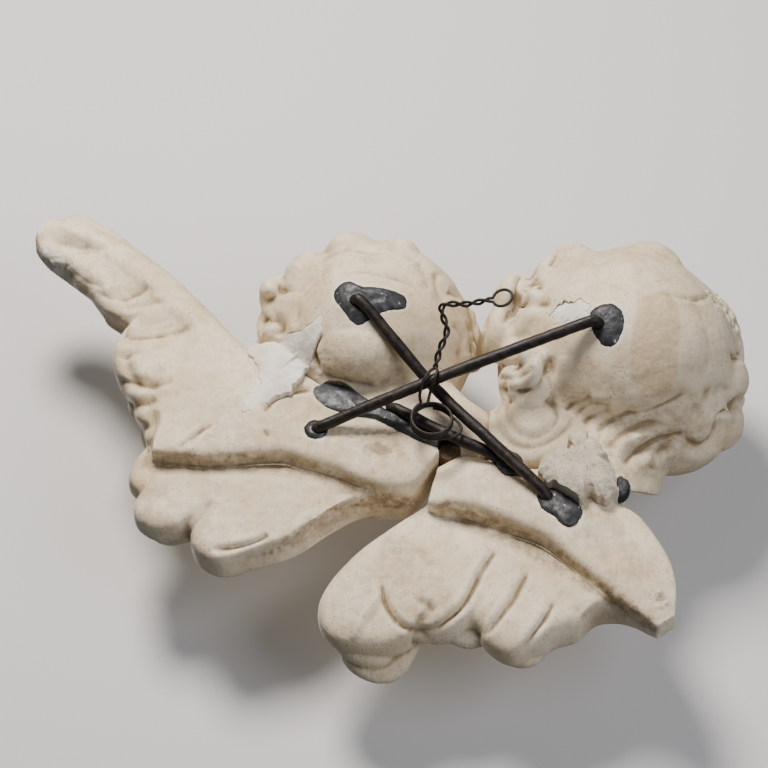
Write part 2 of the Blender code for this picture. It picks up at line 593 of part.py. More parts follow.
def build():
    clear_scene()
    marble = make_material("marble", (0.72, 0.64, 0.52), 0.5)
    iron = make_material("rusty_iron", (0.05, 0.035, 0.03), 0.55, 0.6)
    lead = make_material("lead", (0.07, 0.07, 0.075), 0.35, 0.8)
    plaster = make_material("plaster", (0.75, 0.72, 0.66), 0.9)
    mortar = make_material("mortar", (0.55, 0.50, 0.43), 0.95)
    wood = make_material("old_wood", (0.13, 0.09, 0.06), 0.8)

    stones = {
        "left_head": make_object("left_head", [face(LEFT_HEAD), *head_shapes(LEFT_HEAD)], marble),
        "right_head": make_object("right_head", [face(RIGHT_HEAD), *head_shapes(RIGHT_HEAD)], marble),
        "left_wings": make_object("left_wings", left_wing_shapes(), marble),
        "right_wing": make_object("right_wing", right_wing_shapes(), marble),
    }
    for name, share in SHARES.items():
        fuse(stones[name], share)

    left_room = make_cutter("left_room", *head_shapes(LEFT_HEAD, JOINT))
    right_room = make_cutter("right_room", *head_shapes(RIGHT_HEAD, JOINT))
    for room in (left_room, right_room):
        fuse(room, ROOM_SHARE)
    cut(stones["left_wings"], left_room, right_room)
    cut(stones["right_wing"], left_room, right_room)
    cut(stones["right_head"], left_room)

    fillings = {}
    for name, form in FILLINGS.items():
        kind = lead if name.startswith("lead") else plaster if name.startswith("plaster") else mortar
        fillings[name] = make_object(name, [patch(**form)], kind)
    pockets = {name: make_cutter(name + "_pocket", patch(**form, grow=FIT, headroom=HEADROOM))
               for name, form in FILLINGS.items()}

    for name in RODS:
        make_object(name, [rod(name)], iron)
    channels = {name: make_cutter(name + "_channel", rod(name, FIT)) for name in RODS}

    make_object("dowel", [dowel_tube()], wood)
    dowel_hole = make_cutter("dowel_hole", dowel_tube(FIT, DOWEL_HEADROOM))

    cut(stones["left_head"], pockets["lead_left_head"], pockets["lead_seam"], pockets["plaster_left"],
        pockets["lead_middle"], channels["rod_down"], channels["rod_short"], dowel_hole)
    cut(stones["right_head"], pockets["lead_right_head"], pockets["plaster_right_head"],
        pockets["mortar_right"], pockets["lead_middle"], pockets["lead_neck"], channels["rod_cross"],
        channels["rod_short"])
    cut(stones["left_wings"], pockets["lead_left_wing"], pockets["lead_seam"], pockets["plaster_left"],
        channels["rod_cross"], channels["rod_short"], dowel_hole)
    cut(stones["right_wing"], pockets["lead_middle"], pockets["lead_right_wing"], pockets["lead_neck"],
        pockets["mortar_right"], channels["rod_down"], channels["rod_short"], dowel_hole)
    cut(fillings["lead_left_head"], channels["rod_down"])
    cut(fillings["lead_right_head"], channels["rod_cross"])
    cut(fillings["plaster_right_head"], channels["rod_cross"])
    cut(fillings["lead_left_wing"], channels["rod_cross"])
    cut(fillings["lead_seam"], channels["rod_short"], dowel_hole)
    cut(fillings["lead_middle"], channels["rod_short"], channels["rod_down"])
    cut(fillings["lead_right_wing"], channels["rod_down"])
    cut(fillings["mortar_right"], channels["rod_down"], pockets["lead_right_wing"], pockets["lead_neck"])

    make_object("hanging_wire", [tube(wire_line(), WIRE_RADIUS, 5)], iron)


build()
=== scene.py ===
# %% [markdown]
# # Two marble cherub heads, mended behind with iron and lead
#
# The relief was carved in white marble and lies on its faces here, so its back shows: two heads of curls,
# a high wing and a blade of feathers at one side, and a hanging wing at the other. Four blocks meet at a
# brown dowel. Three iron rods, bedded in poured lead and plaster, hold them together, and a thin wire wound
# over the rods' crossing ends in an eye that the group hangs from.
#
# Places are written as somebody sees the back, in millimetres: right, up and out.

import math

import bmesh
import bpy
import numpy as np
from mathutils import Matrix, Vector


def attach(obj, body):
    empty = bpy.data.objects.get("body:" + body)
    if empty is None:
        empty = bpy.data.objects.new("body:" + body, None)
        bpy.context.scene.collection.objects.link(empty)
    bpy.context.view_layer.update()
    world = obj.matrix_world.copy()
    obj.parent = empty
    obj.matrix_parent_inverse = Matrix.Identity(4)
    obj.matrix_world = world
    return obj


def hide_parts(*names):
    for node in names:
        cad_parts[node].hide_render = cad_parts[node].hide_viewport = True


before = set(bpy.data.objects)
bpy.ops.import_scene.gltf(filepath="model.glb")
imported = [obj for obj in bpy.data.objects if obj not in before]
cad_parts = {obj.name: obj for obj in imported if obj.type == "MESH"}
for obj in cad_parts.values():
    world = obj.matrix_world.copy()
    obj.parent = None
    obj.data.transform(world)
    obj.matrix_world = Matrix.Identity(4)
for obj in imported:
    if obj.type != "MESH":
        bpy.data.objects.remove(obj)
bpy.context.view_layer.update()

MM = 0.001
EYE = np.array([68.0, -54.5, 150.0])
TARGET = np.array([0, -62.5, 80.0])
DISTANCE = 2000.0
ELEVATION = math.radians(52)
PICTURE = 768
PIXELS_PER_MM = 1.70


def place(points):
    """Right, up and out, less the place of the hanging eye, become -x, z and y of the frame in metres."""
    right, up, out = np.moveaxis(np.asarray(points, float) - EYE, -1, 0)
    return np.stack([-right, out, up], -1) * MM


def unplace(points):
    """The way back: metres in the frame become millimetres right, up and out."""
    x, y, z = np.moveaxis(np.asarray(points, float) / MM, -1, 0)
    return np.stack([-x, z, y], -1) + EYE


# %% [markdown]
# ## Shapes as numbers
#
# Every piece starts as rings of points: a tube is a circle carried along a path, a pillow is a rounded
# slab between two edge lines, an egg is a sphere stretched along three axes. Rings joined to their
# neighbours and fanned at both ends give a closed skin.

# %%
def unit(vectors):
    """A vector divided by its length."""
    vectors = np.asarray(vectors, float)
    return vectors / np.linalg.norm(vectors, axis=-1, keepdims=True)


def step(x, start, end):
    """0 below start, 1 above end; between them t squared times (3 - 2t)."""
    t = np.clip((np.asarray(x, float) - start) / (end - start), 0, 1)
    return t * t * (3 - 2 * t)


def bump(x, centre, width):
    """A bell: e to the minus squared distance from the centre in widths."""
    return np.exp(-(((x - centre) / width) ** 2))


def smooth_line(points, count, closed=False):
    """Points along a Catmull-Rom curve, the cubic that passes through every given point."""
    p = np.asarray(points, float)
    if closed:
        p = np.vstack([p[-1], p, p[:2]])
    else:
        p = np.vstack([2 * p[0] - p[1], p, 2 * p[-1] - p[-2]])
    spans = len(p) - 3
    t = np.linspace(0, spans, count, endpoint=not closed)
    k = np.minimum(t.astype(int), spans - 1)
    f = (t - k)[:, None]
    a, b, c, d = p[k], p[k + 1], p[k + 2], p[k + 3]
    return 0.5 * (2 * b + (c - a) * f + (2 * a - 5 * b + 4 * c - d) * f**2 + (3 * b - a - 3 * c + d) * f**3)


def even_line(points, spacing):
    """The same curve with one point for every spacing of its length."""
    fine = smooth_line(points, 40 * len(points))
    run = np.concatenate([[0], np.cumsum(np.linalg.norm(np.diff(fine, axis=0), axis=1))])
    s = np.linspace(0, run[-1], max(3, round(run[-1] / spacing)))
    return np.stack([np.interp(s, run, fine[:, i]) for i in range(3)], 1)


def ring_solid(rings):
    """A closed skin over rings (n, m, 3): quads between neighbours and a fan of triangles at each end."""
    n, m, _ = rings.shape
    i, j = np.meshgrid(np.arange(n - 1), np.arange(m), indexing="ij")
    k = (j + 1) % m
    quads = np.stack([i * m + j, i * m + k, (i + 1) * m + k, (i + 1) * m + j], -1).reshape(-1, 4)
    a = np.arange(m)
    b = (a + 1) % m
    first = np.stack([np.full(m, n * m), b, a], -1)
    last = np.stack([np.full(m, n * m + 1), (n - 1) * m + a, (n - 1) * m + b], -1)
    verts = np.vstack([rings.reshape(-1, 3), rings[[0, -1]].mean(1)])
    return verts, quads.tolist() + first.tolist() + last.tolist()


def carried_sides(path, start):
    """A sideways direction at each point: the last one, less its part along the path, made one long again."""
    tangent = unit(np.gradient(path, axis=0))
    side = np.empty_like(path)
    side[0] = unit(start - tangent[0] * np.dot(start, tangent[0]))
    for i in range(1, len(path)):
        side[i] = unit(side[i - 1] - tangent[i] * np.dot(side[i - 1], tangent[i]))
    return side, np.cross(tangent, side)


def tube(path, radius, sides):
    """A circle of the given radius carried along a path."""
    path = np.asarray(path, float)
    start = np.eye(3)[np.argmin(np.abs(path[1] - path[0]))]
    side, over = carried_sides(path, start)
    angle = np.linspace(0, 2 * math.pi, sides, endpoint=False)
    wheel = np.cos(angle)[None, :, None] * side[:, None] + np.sin(angle)[None, :, None] * over[:, None]
    return ring_solid(path[:, None] + np.broadcast_to(radius, len(path))[:, None, None] * wheel)


def egg(centre, half_axes, axes, rings=36, sides=48, shape=None):
    """A sphere's (sin a cos b, cos a, sin a sin b) times three half axes; shape may move its points."""
    theta = np.linspace(0, math.pi, rings + 2)[1:-1]
    phi = np.linspace(0, 2 * math.pi, sides, endpoint=False)
    theta, phi = np.meshgrid(theta, phi, indexing="ij")
    way = np.stack([np.sin(theta) * np.cos(phi), np.cos(theta), np.sin(theta) * np.sin(phi)], -1)
    local = way * half_axes
    if shape is not None:
        local = shape(local)
    return ring_solid(centre + local @ axes.T)


def pillow(low, high, back, front, corner, sides=40, rings=60):
    """A slab between two edge lines; its cross-section is an oval whose sines are raised to 2 / corner."""
    low, high = smooth_line(low, rings), smooth_line(high, rings)
    s = np.linspace(0, 1, rings)
    back = np.interp(s, np.linspace(0, 1, len(back)), back)
    front = np.interp(s, np.linspace(0, 1, len(front)), front)
    corner = np.interp(s, np.linspace(0, 1, len(corner)), corner)[:, None]
    angle = np.linspace(0, 2 * math.pi, sides, endpoint=False)
    across = np.sign(np.cos(angle)) * np.abs(np.cos(angle)) ** (2 / corner)
    through = np.sign(np.sin(angle)) * np.abs(np.sin(angle)) ** (2 / corner)
    flat = (low + high)[:, None] / 2 + across[..., None] * (high - low)[:, None] / 2
    depth = (back + front)[:, None] / 2 + through * (back - front)[:, None] / 2
    return ring_solid(np.concatenate([flat, depth[..., None]], -1))


# %% [markdown]
# ## The heads
#
# A carver roughs a head out as an egg for the hair and a narrower egg for the face, then adds the neck and
# lock after lock of curls. The same order works here: each curl is a thick cord wound inwards like a snail,
# and the face is an egg whose front is pushed out and in by soft bells for brow, eyes, nose, cheeks, lips
# and chin, on the proportions of a calm infant.

# %%
def head_axes(lean, turn):
    """Columns are the head's own right, back and crown: a turn by lean in the wall's plane, then by turn."""
    lean, turn = math.radians(lean), math.radians(turn)
    right = np.array([math.cos(lean), -math.sin(lean), 0])
    crown = np.array([math.sin(lean), math.cos(lean), 0])
    back = np.array([0, 0, 1.0])
    turned_right = math.cos(turn) * right + math.sin(turn) * back
    turned_back = math.cos(turn) * back - math.sin(turn) * right
    return np.stack([turned_right, turned_back, crown], 1)


SKULL = np.array([0.90, 0.92, 0.87])
SKULL_CENTRE = np.array([0, 0.08, 0.0])
FACE = np.array([0.64, 0.76, 0.70])
FACE_CENTRE = np.array([0, -0.17, -0.24])

LEFT_HEAD = dict(
    centre=np.array([-7.0, -27.0, 69.5]), size=68.0, axes=head_axes(-8, 9),
    necks=[dict(line=[(-2, -45, 66), (3, -70, 66), (2, -98, 66)],
                across=[36, 37, 37], deep=[32, 34, 33]),
           dict(line=[(8, -62, 72), (28, -89, 75), (45, -105, 76), (60, -117, 74)],
                across=[28, 26, 25, 17], deep=[27, 24, 22, 18])],
    curls=[(74, 0.50, -84, -40, 2, 0.12), (92, 0.48, -86, 27, 5, 0.0), (94, 0.42, 55, 112, 3, 0.16),
           (114, 0.43, -92, 96, 8, 0.0), (130, 0.38, -40, 40, 3, 0.0)],
    masses=[dict(centre=(-14, -62, 78), half=(33, 29, 26)),
            dict(centre=(-62.4, -9.4, 95), half=(12, 14, 12.5)),
            dict(centre=(-45, 3, 104), half=(13, 13, 12)),
            dict(centre=(-20, 9.5, 110), half=(17, 15, 14)),
            dict(centre=(8, 10, 108.5), half=(14, 13, 11)),
            dict(centre=(-67.8, -23, 81.5), half=(8, 12, 12))])
RIGHT_HEAD = dict(
    centre=np.array([140.0, -45.0, 74.5]), size=74.0, axes=head_axes(20, -8),
    necks=[dict(line=[(138, -60, 68), (132, -95, 68), (125, -127, 66)],
                across=[34, 34, 35], deep=[33, 32, 30], lean=0.73),
           dict(line=[(128, -75, 74), (98, -94, 74), (74, -107, 74), (58, -112, 73)],
                across=[34, 32, 27, 20], deep=[28, 27, 24, 20])],
    curls=[(74, 0.50, -96, -22, 3, 0.14), (92, 0.48, -112, 116, 9, 0.02), (114, 0.43, -100, 100, 8, 0.0),
           (130, 0.38, -40, 40, 3, 0.0), (84, 0.48, -100, -138, 2, -0.27)],
    masses=[dict(centre=(163, -80, 72), half=(40, 33, 35)),
            dict(centre=(174, -29, 78), half=(38, 34, 38)),
            dict(centre=(76, -15, 104.5), half=(11, 14, 15)),
            dict(centre=(98, -8, 113), half=(11, 13, 12)),
            dict(centre=(113, -3, 115.5), half=(17, 15, 14)),
            dict(centre=(157, -6, 119.5), half=(20, 16, 14.5)),
            dict(centre=(199, -60, 80), half=(16, 17, 17)),
            dict(centre=(196, -78, 62), half=(16, 17, 17))])


def face_relief(x, z):
    """The sum of the bells that stand forward of the egg; x is across and z up, both in head sizes."""
    across = np.abs(x)
    eye_x, eye_z = 0.27, -0.10
    lid = np.clip(1 - ((across - eye_x) / 0.145) ** 2, 0, 1) ** 0.5
    ball = np.clip(1 - ((across - eye_x) / 0.125) ** 2 - ((z - eye_z) / 0.095) ** 2, 0, 1) ** 0.5
    nose_run = step(z, -0.42, -0.34) * (1 - step(z, -0.06, 0.10))
    slope = 0.055 + 0.12 * (1 - step(z, -0.36, 0.02))
    mouth = bump(z, -0.545 + 0.35 * x**2, 0.014) * np.exp(-((across / 0.15) ** 4))
    return (
        0.030 * bump(across, 0.24, 0.20) * bump(z, 0.10, 0.06)
        - 0.085 * bump(across, eye_x, 0.15) * bump(z, eye_z + 0.01, 0.10)
        + 0.075 * ball
        + 0.016 * lid * bump(z, eye_z + 0.062 * lid, 0.018)
        + 0.012 * lid * bump(z, eye_z - 0.060 * lid, 0.016)
        + slope * nose_run * bump(x, 0, 0.062)
        + 0.060 * bump(x, 0, 0.07) * bump(z, -0.33, 0.06)
        + 0.065 * bump(across, 0.085, 0.045) * bump(z, -0.36, 0.045)
        + 0.060 * bump(across, 0.36, 0.17) * bump(z, -0.36, 0.17)
        + 0.055 * bump(x, 0, 0.19) * bump(z, -0.54, 0.12)
        + 0.030 * np.exp(-((across / 0.12) ** 4)) * bump(z, -0.500, 0.030)
        + 0.034 * np.exp(-((across / 0.09) ** 4)) * bump(z, -0.590, 0.030)
        - 0.040 * mouth
        - 0.020 * bump(x, 0, 0.025) * bump(z, -0.45, 0.03)
        - 0.030 * bump(x, 0, 0.12) * bump(z, -0.660, 0.030)
        + 0.070 * bump(x, 0, 0.14) * bump(z, -0.745, 0.075))


def face(head, rings=150, sides=180):
    """The face's egg narrows to the chin and its front half is moved forward by face_relief."""
    size = head["size"]

    def carve(local):
        x, y, z = np.moveaxis(local, -1, 0)
        x = x * (1 - 0.20 * step(-z / size, 0.10, 0.62))
        front = step(-y / size, 0.05, 0.40)
        y = y - front * size * face_relief(x / size, z / size + FACE_CENTRE[2])
        return np.stack([x, y, z], -1)

    centre = head["centre"] + head["axes"] @ (FACE_CENTRE * size)
    return egg(centre, FACE * size, head["axes"], rings, sides, carve)


def skull(head, grow=0.0):
    """The egg under the hair."""
    centre = head["centre"] + head["axes"] @ (SKULL_CENTRE * head["size"])
    return egg(centre, SKULL * head["size"] + grow, head["axes"], 60, 80)


def skull_back(head):
    """The height of the skull's back: the larger root of the quadratic for a line along out."""
    centre = head["centre"] + head["axes"] @ (SKULL_CENTRE * head["size"])
    half = SKULL * head["size"]

    def height(right, up):
        flat = np.stack([right, up, np.zeros_like(right)], -1) - centre
        base = flat @ head["axes"] / half
        way = head["axes"][2] / half
        a, b, c = way @ way, 2 * base @ way, (base**2).sum(-1) - 1
        return (-b + np.sqrt(np.clip(b * b - 4 * a * c, 0, None))) / (2 * a)

    return height


def stalk(line, across, deep, lean=0.0, grow=0.0, rings=24, sides=48):
    """An oval column; with lean its rings are slanted, out being traded for lean times the way ahead."""
    line = smooth_line(line, rings)
    across = np.interp(np.linspace(0, 1, rings), np.linspace(0, 1, len(across)), across) + grow
    deep = np.interp(np.linspace(0, 1, rings), np.linspace(0, 1, len(deep)), deep) + grow
    ahead = unit(line[-1] - line[0])
    line = line + np.linspace(-grow, grow, rings)[:, None] * ahead
    out = np.array([0, 0, 1.0])
    angle = np.linspace(0, 2 * math.pi, sides, endpoint=False)
    sideways = across[:, None, None] * np.cos(angle)[None, :, None] * unit(np.cross(ahead, out))
    outwards = deep[:, None, None] * np.sin(angle)[None, :, None] * (out + lean * ahead)
    return ring_solid(line[:, None] + sideways + outwards)


def necks(head, grow=0.0):
    return [stalk(**form, grow=grow) for form in head["necks"]]


def curl(head, polar, azimuth, size, hand, sunk, grow=0.0, turns=1.1, sides=30, steps=60):
    """A tube along a spiral on the skull; its radius falls and its rise grows as the spiral winds in."""
    polar, azimuth = math.radians(polar), math.radians(azimuth)
    ring = math.sin(polar)
    way = np.array([ring * math.sin(azimuth), math.cos(polar), ring * math.cos(azimuth)])
    half = SKULL * head["size"]
    reach = 1 / np.linalg.norm(way / half)
    normal = unit(way / half)
    first = unit(np.cross(normal, [0, 1.0, 0]))
    second = np.cross(normal, first) * hand
    t = np.linspace(-0.3, 1, steps)[:, None]
    swing = 2 * math.pi * turns * t
    wound = np.clip(t, 0, 1)
    spread = size * (0.34 - 0.27 * wound) * (1 + 1.5 * np.clip(-t, 0, 1))
    lift = size * (0.02 - sunk + 0.16 * wound**1.5 + 0.45 * np.clip(t, -1, 0))
    lift = lift - spread**2 / (2 * head["size"] * 0.9)
    centre = SKULL_CENTRE * head["size"] + way * reach
    path = centre + spread * (np.cos(swing) * first + np.sin(swing) * second) + lift * normal
    thick = size * (0.225 - 0.06 * wound[:, 0]) + grow
    return tube(head["centre"] + path @ head["axes"].T, thick, sides)


def hair(head, grow=0.0):
    """Rows of curls, each row a circle round the head; sines of the lock's number vary size and place."""
    locks = []
    for polar, share, start, end, count, sunk in head["curls"]:
        for i in range(count):
            azimuth = start + (end - start) * i / (count - 1)
            sway = math.sin(2.4 * i + polar)
            size = share * head["size"] * (1 + 0.12 * math.cos(1.9 * i + polar))
            locks.append(curl(head, polar + 5 * sway, azimuth, size, 1 if i % 2 else -1, sunk, grow))
    return locks


def head_shapes(head, grow=0.0):
    """All of a head but its face; grow makes the room that its neighbours leave for it."""
    bulges = [egg(np.array(form["centre"], float), np.array(form["half"]) + grow, head["axes"])
              for form in head["masses"]]
    return [skull(head, grow), *bulges, *necks(head, grow), *hair(head, grow)]


# %% [markdown]
# ## The wings
#
# Each wing is a flat-backed slab that ends in a ledge, with a lower, rounded field of broad feathers beyond
# it. A feather is a flattened tube that widens from its root and closes in a round nose, with a low shaft
# down its middle, so overlapping ones make the scalloped edge by themselves.

# %%
def feather(root, tip, half, thick, bow=0.0, share=0.55, sides=28, rings=60):
    """A line bowed by a sine; its width grows as a sine and closes as a round nose, its face is crowned."""
    root, tip = np.asarray(root, float), np.asarray(tip, float)
    length = np.linalg.norm(tip - root)
    ahead = (tip - root) / length
    over = unit(np.array([0, 0, 1.0]) - ahead * ahead[2])
    side = np.cross(over, ahead)
    s = 1 - (1 - np.linspace(0, 1, rings)) ** 1.7
    middle = root + s[:, None] * (tip - root) + (bow * length * np.sin(math.pi * s))[:, None] * side
    nose = np.clip((s - (1 - half / length)) * length / half, 0, 1)
    nose = np.sqrt(np.clip(1 - nose**2.2, 0.004, 1))
    width = half * (share + (1 - share) * np.sin(np.clip(s / 0.75, 0, 1) * math.pi / 2)) * nose
    deep = thick / 2 * (1 - 0.3 * s) * nose**0.7
    angle = np.linspace(0, 2 * math.pi, sides, endpoint=False)
    x = np.sign(np.cos(angle)) * np.abs(np.cos(angle)) ** 0.8
    y = np.sign(np.sin(angle)) * np.abs(np.sin(angle)) ** 0.75 * (1 + 0.14 * bump(x, 0, 0.2))
    rise = deep[:, None] * y[None] - 0.10 * width[:, None] * x[None] ** 2
    return ring_solid(middle[:, None] + (width[:, None] * x[None])[..., None] * side + rise[..., None] * over)


def left_wing_shapes():
    """A flat-backed slab with a ledge, the raised wing above it and the lower blade with a broken edge."""
    slab = pillow(
        [(-134, -122), (-117, -124), (-102, -126), (-85, -125), (-59, -124), (-48, -128), (-28, -135),
         (-12, -143), (1, -146), (12, -147), (21, -141), (28, -128)],
        [(-128, -90), (-104, -48), (-75, -50), (-50, -58), (-34, -76), (-12, -88), (12, -100), (38, -115)],
        [94, 96, 97, 98, 98, 97, 96, 95], [66, 58, 54, 52, 52, 54, 60, 64], [8, 8])
    raised = pillow(
        [(-100, -122), (-134, -112), (-139, -99), (-143, -89), (-146, -82), (-149, -72), (-154, -64),
         (-158, -55), (-160, -45), (-158, -34), (-151, -25), (-157, -18), (-166, -10), (-172, -1), (-178, 8),
         (-184, 13), (-188, 19), (-190, 25), (-196, 25), (-201, 28), (-205, 32), (-209, 38), (-212, 45),
         (-210, 50)],
        [(-40, -66), (-77, -44), (-87, -36), (-97, -29), (-107, -19), (-115, -5), (-125, 12), (-138, 28),
         (-151, 41), (-165, 54), (-178, 62), (-187, 65), (-196, 63), (-204, 59), (-210, 52)],
        [97, 95, 92, 91, 90, 88], [54, 58, 62, 66, 68, 70], [3, 3], rings=96)
    blade = pillow(
        [(-134, -106), (-142, -113), (-147, -122), (-147, -130), (-141, -139), (-144, -147), (-142, -156),
         (-136, -162), (-128, -165), (-119, -165), (-111, -163), (-110, -172), (-106, -181), (-100, -186),
         (-92, -188), (-82, -185), (-70, -181), (-58, -177), (-47, -170), (-38, -160), (-28, -154),
         (-14, -148), (0, -146), (11, -144), (20, -139)],
        [(-128, -98), (-100, -104), (-60, -110), (-20, -118), (14, -128), (23, -131)],
        [80, 82, 84, 85, 85, 84], [60, 56, 55, 56, 60, 64], [3.4, 3.4, 3.4, 6, 8, 8],
        rings=96)
    arm_line = smooth_line([(-40, -82, 74), (-82, -62, 76), (-104, -38, 78), (-122, -14, 80), (-142, 10, 81),
                            (-168, 34, 81), (-187, 49, 81), (-195, 53, 81)], 40)
    blade_feathers = [
        feather((-60, -120, 64), (-143, -121, 62), 15, 22, -0.02),
        feather((-50, -130, 65), (-138, -151, 62), 18, 22, -0.03),
        feather((-35, -138, 65), (-100, -179, 62), 15, 22, -0.02)]
    raised_feathers = [
        feather((-100, -32, 75), (-206, 49, 74), 10, 20, 0.03),
        feather((-90, -42, 75), (-183, 32, 73), 12, 22, 0.03),
        feather((-85, -52, 74), (-166, 8, 72), 13, 23, 0.02),
        feather((-70, -68, 73), (-157, -40, 70), 17, 25, -0.02),
        feather((-65, -82, 72), (-151, -66, 68), 13, 25, -0.03),
        feather((-62, -96, 72), (-143, -88, 66), 14, 25, -0.04)]
    arm = tube(arm_line, np.linspace(21, 10, len(arm_line)), 40)
    return [slab, raised, blade, arm, *blade_feathers, *raised_feathers]


def right_wing_shapes():
    """A curved band with a ledge, a fan of broad overlapping feathers under it, and a root below the neck."""
    band = pillow(
        [(24, -155), (32, -158), (39, -158), (54, -162), (66, -168), (75, -173), (91, -181), (104, -193),
         (117, -207), (131, -221), (143, -231), (152, -238)],
        [(31, -129), (45, -122), (60, -127), (83, -142), (105, -148), (128, -154), (144, -163), (156, -182),
         (164, -206), (163, -230)],
        [90, 93, 95, 96, 96, 95, 93, 92, 90, 86], [60, 54, 50, 50, 50, 50, 52, 60, 68, 72], [7, 7])
    blade = pillow(
        [(21, -151), (7, -162), (-10, -175), (-22, -187), (-32, -200), (-37, -211), (-37, -221), (-33, -230),
         (-26, -237), (-15, -241), (0, -242), (11, -238), (18, -230), (26, -233), (33, -233), (42, -231),
         (49, -227), (54, -230), (55, -236), (60, -242), (67, -247), (74, -248), (82, -244), (90, -240),
         (96, -236), (108, -232), (112, -226), (118, -221), (125, -220), (133, -221), (142, -225)],
        [(33, -140), (45, -148), (70, -158), (95, -172), (120, -196), (150, -214)],
        [78, 80, 82, 83, 83, 82], [50, 48, 50, 50, 52, 60], [3, 3], rings=110)
    feathers = [
        feather((38, -148, 60), (-17, -243, 58), 23, 22, -0.09),
        feather((40, -160, 54), (-13, -248, 50), 22, 17, -0.04),
        feather((56, -155, 64), (13, -230, 64), 22, 21, -0.03),
        feather((80, -165, 63), (38, -232, 61), 18, 20, -0.03),
        feather((104, -178, 61), (68, -244, 59), 19, 21, -0.04)]
    root = pillow(
        [(42, -134), (85, -160), (122, -178), (138, -176)],
        [(44, -118), (84, -122), (118, -128), (138, -140)], [86, 87, 86, 82], [54, 47, 44, 52], [4, 4])
    return [band, blade, root, *feathers]


# %% [markdown]
# ## Fillings, rods and wire
#
# The mender drilled a hole, set the rod in it and poured lead round it; plaster and mortar fill the rest.
# A filling is a wavy outline whose top follows the stone behind it, swollen a little. The rods are bars
# bent by hand, so each is a circle carried along a curve, and so is the wire, which is one line from the
# coil over the crossing up to the eye and back, wound round itself where it is double.

# %%
JOINT = 1.4
FIT = 0.45
ROD_RADIUS = 3.4
WIRE_RADIUS = 0.9
TWIST_RADIUS = 1.2
TWIST_PITCH = 15.0
EYE_HALF = (6.5, 5.1)
EYE_TILT = math.radians(57)
EYE_START = 118.0
EYE_SWEEP = 332.0
COIL_TOP = np.array([27.3, -113.5, 114.8])
COIL_RADIUS = 11.6
COIL_BULGE = 6.0
COIL_BULGE_AT = math.radians(-18)
COIL_END = math.radians(122)
COIL_TURNS = 2.9
COIL_PITCH = 2.4
DOWEL = dict(centre=np.array([37.5, -120.0]), radius=6.3, low=78.0, high=91.0)
DOWEL_HEADROOM = 9.0
SLAB_LEVEL = 98.0
MORTAR_LEVEL = 101.0
PLASTER_LAP = 0.4
HEADROOM = 8.0
RIM_POINTS = 128


def patch(outline, surface, rise, sink, grow=0.0, headroom=0.0, rings=2, ragged=0.0):
    """Rings from the middle to a wavy rim on top and back below; the top swells by 1 - v to the fourth."""
    rim = smooth_line(outline, RIM_POINTS, closed=True)
    lap = np.linspace(0, 2 * math.pi, RIM_POINTS, endpoint=False)
    waves = np.sin(7 * lap) + 0.8 * np.sin(11 * lap + 1) + 0.7 * np.sin(19 * lap + 2) + 0.5 * np.sin(31 * lap)
    centre = rim.mean(0)
    along = np.roll(rim, -1, 0) - np.roll(rim, 1, 0)
    aside = unit(np.stack([along[:, 1], -along[:, 0]], 1))
    rim = rim + (grow * np.sign((aside * (rim - centre)).sum()) + ragged * waves)[:, None] * aside
    v = np.linspace(0.45, 1, rings)
    flat = centre + v[:, None, None] * (rim - centre)[None]
    level = surface(flat[..., 0], flat[..., 1])
    top = level + grow + headroom + rise * (1 - v[:, None] ** 4)
    low = level - sink - grow
    top = np.concatenate([flat, top[..., None]], -1)
    low = np.concatenate([flat, low[..., None]], -1)
    return ring_solid(np.concatenate([top, low[::-1]]))


def level(height):
    return lambda right, up: np.full_like(right, height)


def plaster_rise(right, up):
    """The plaster climbs from the wing's back and laps over the side of the head."""
    return np.maximum(97.0 + 6.0 * step(right, -74, -48), skull_back(LEFT_HEAD)(right, up) + PLASTER_LAP)


def disc(centre, radius, count=6):
    angle = np.arange(count) * 2 * math.pi / count
    return np.asarray(centre, float) + radius * np.stack([np.cos(angle), np.sin(angle)], 1)


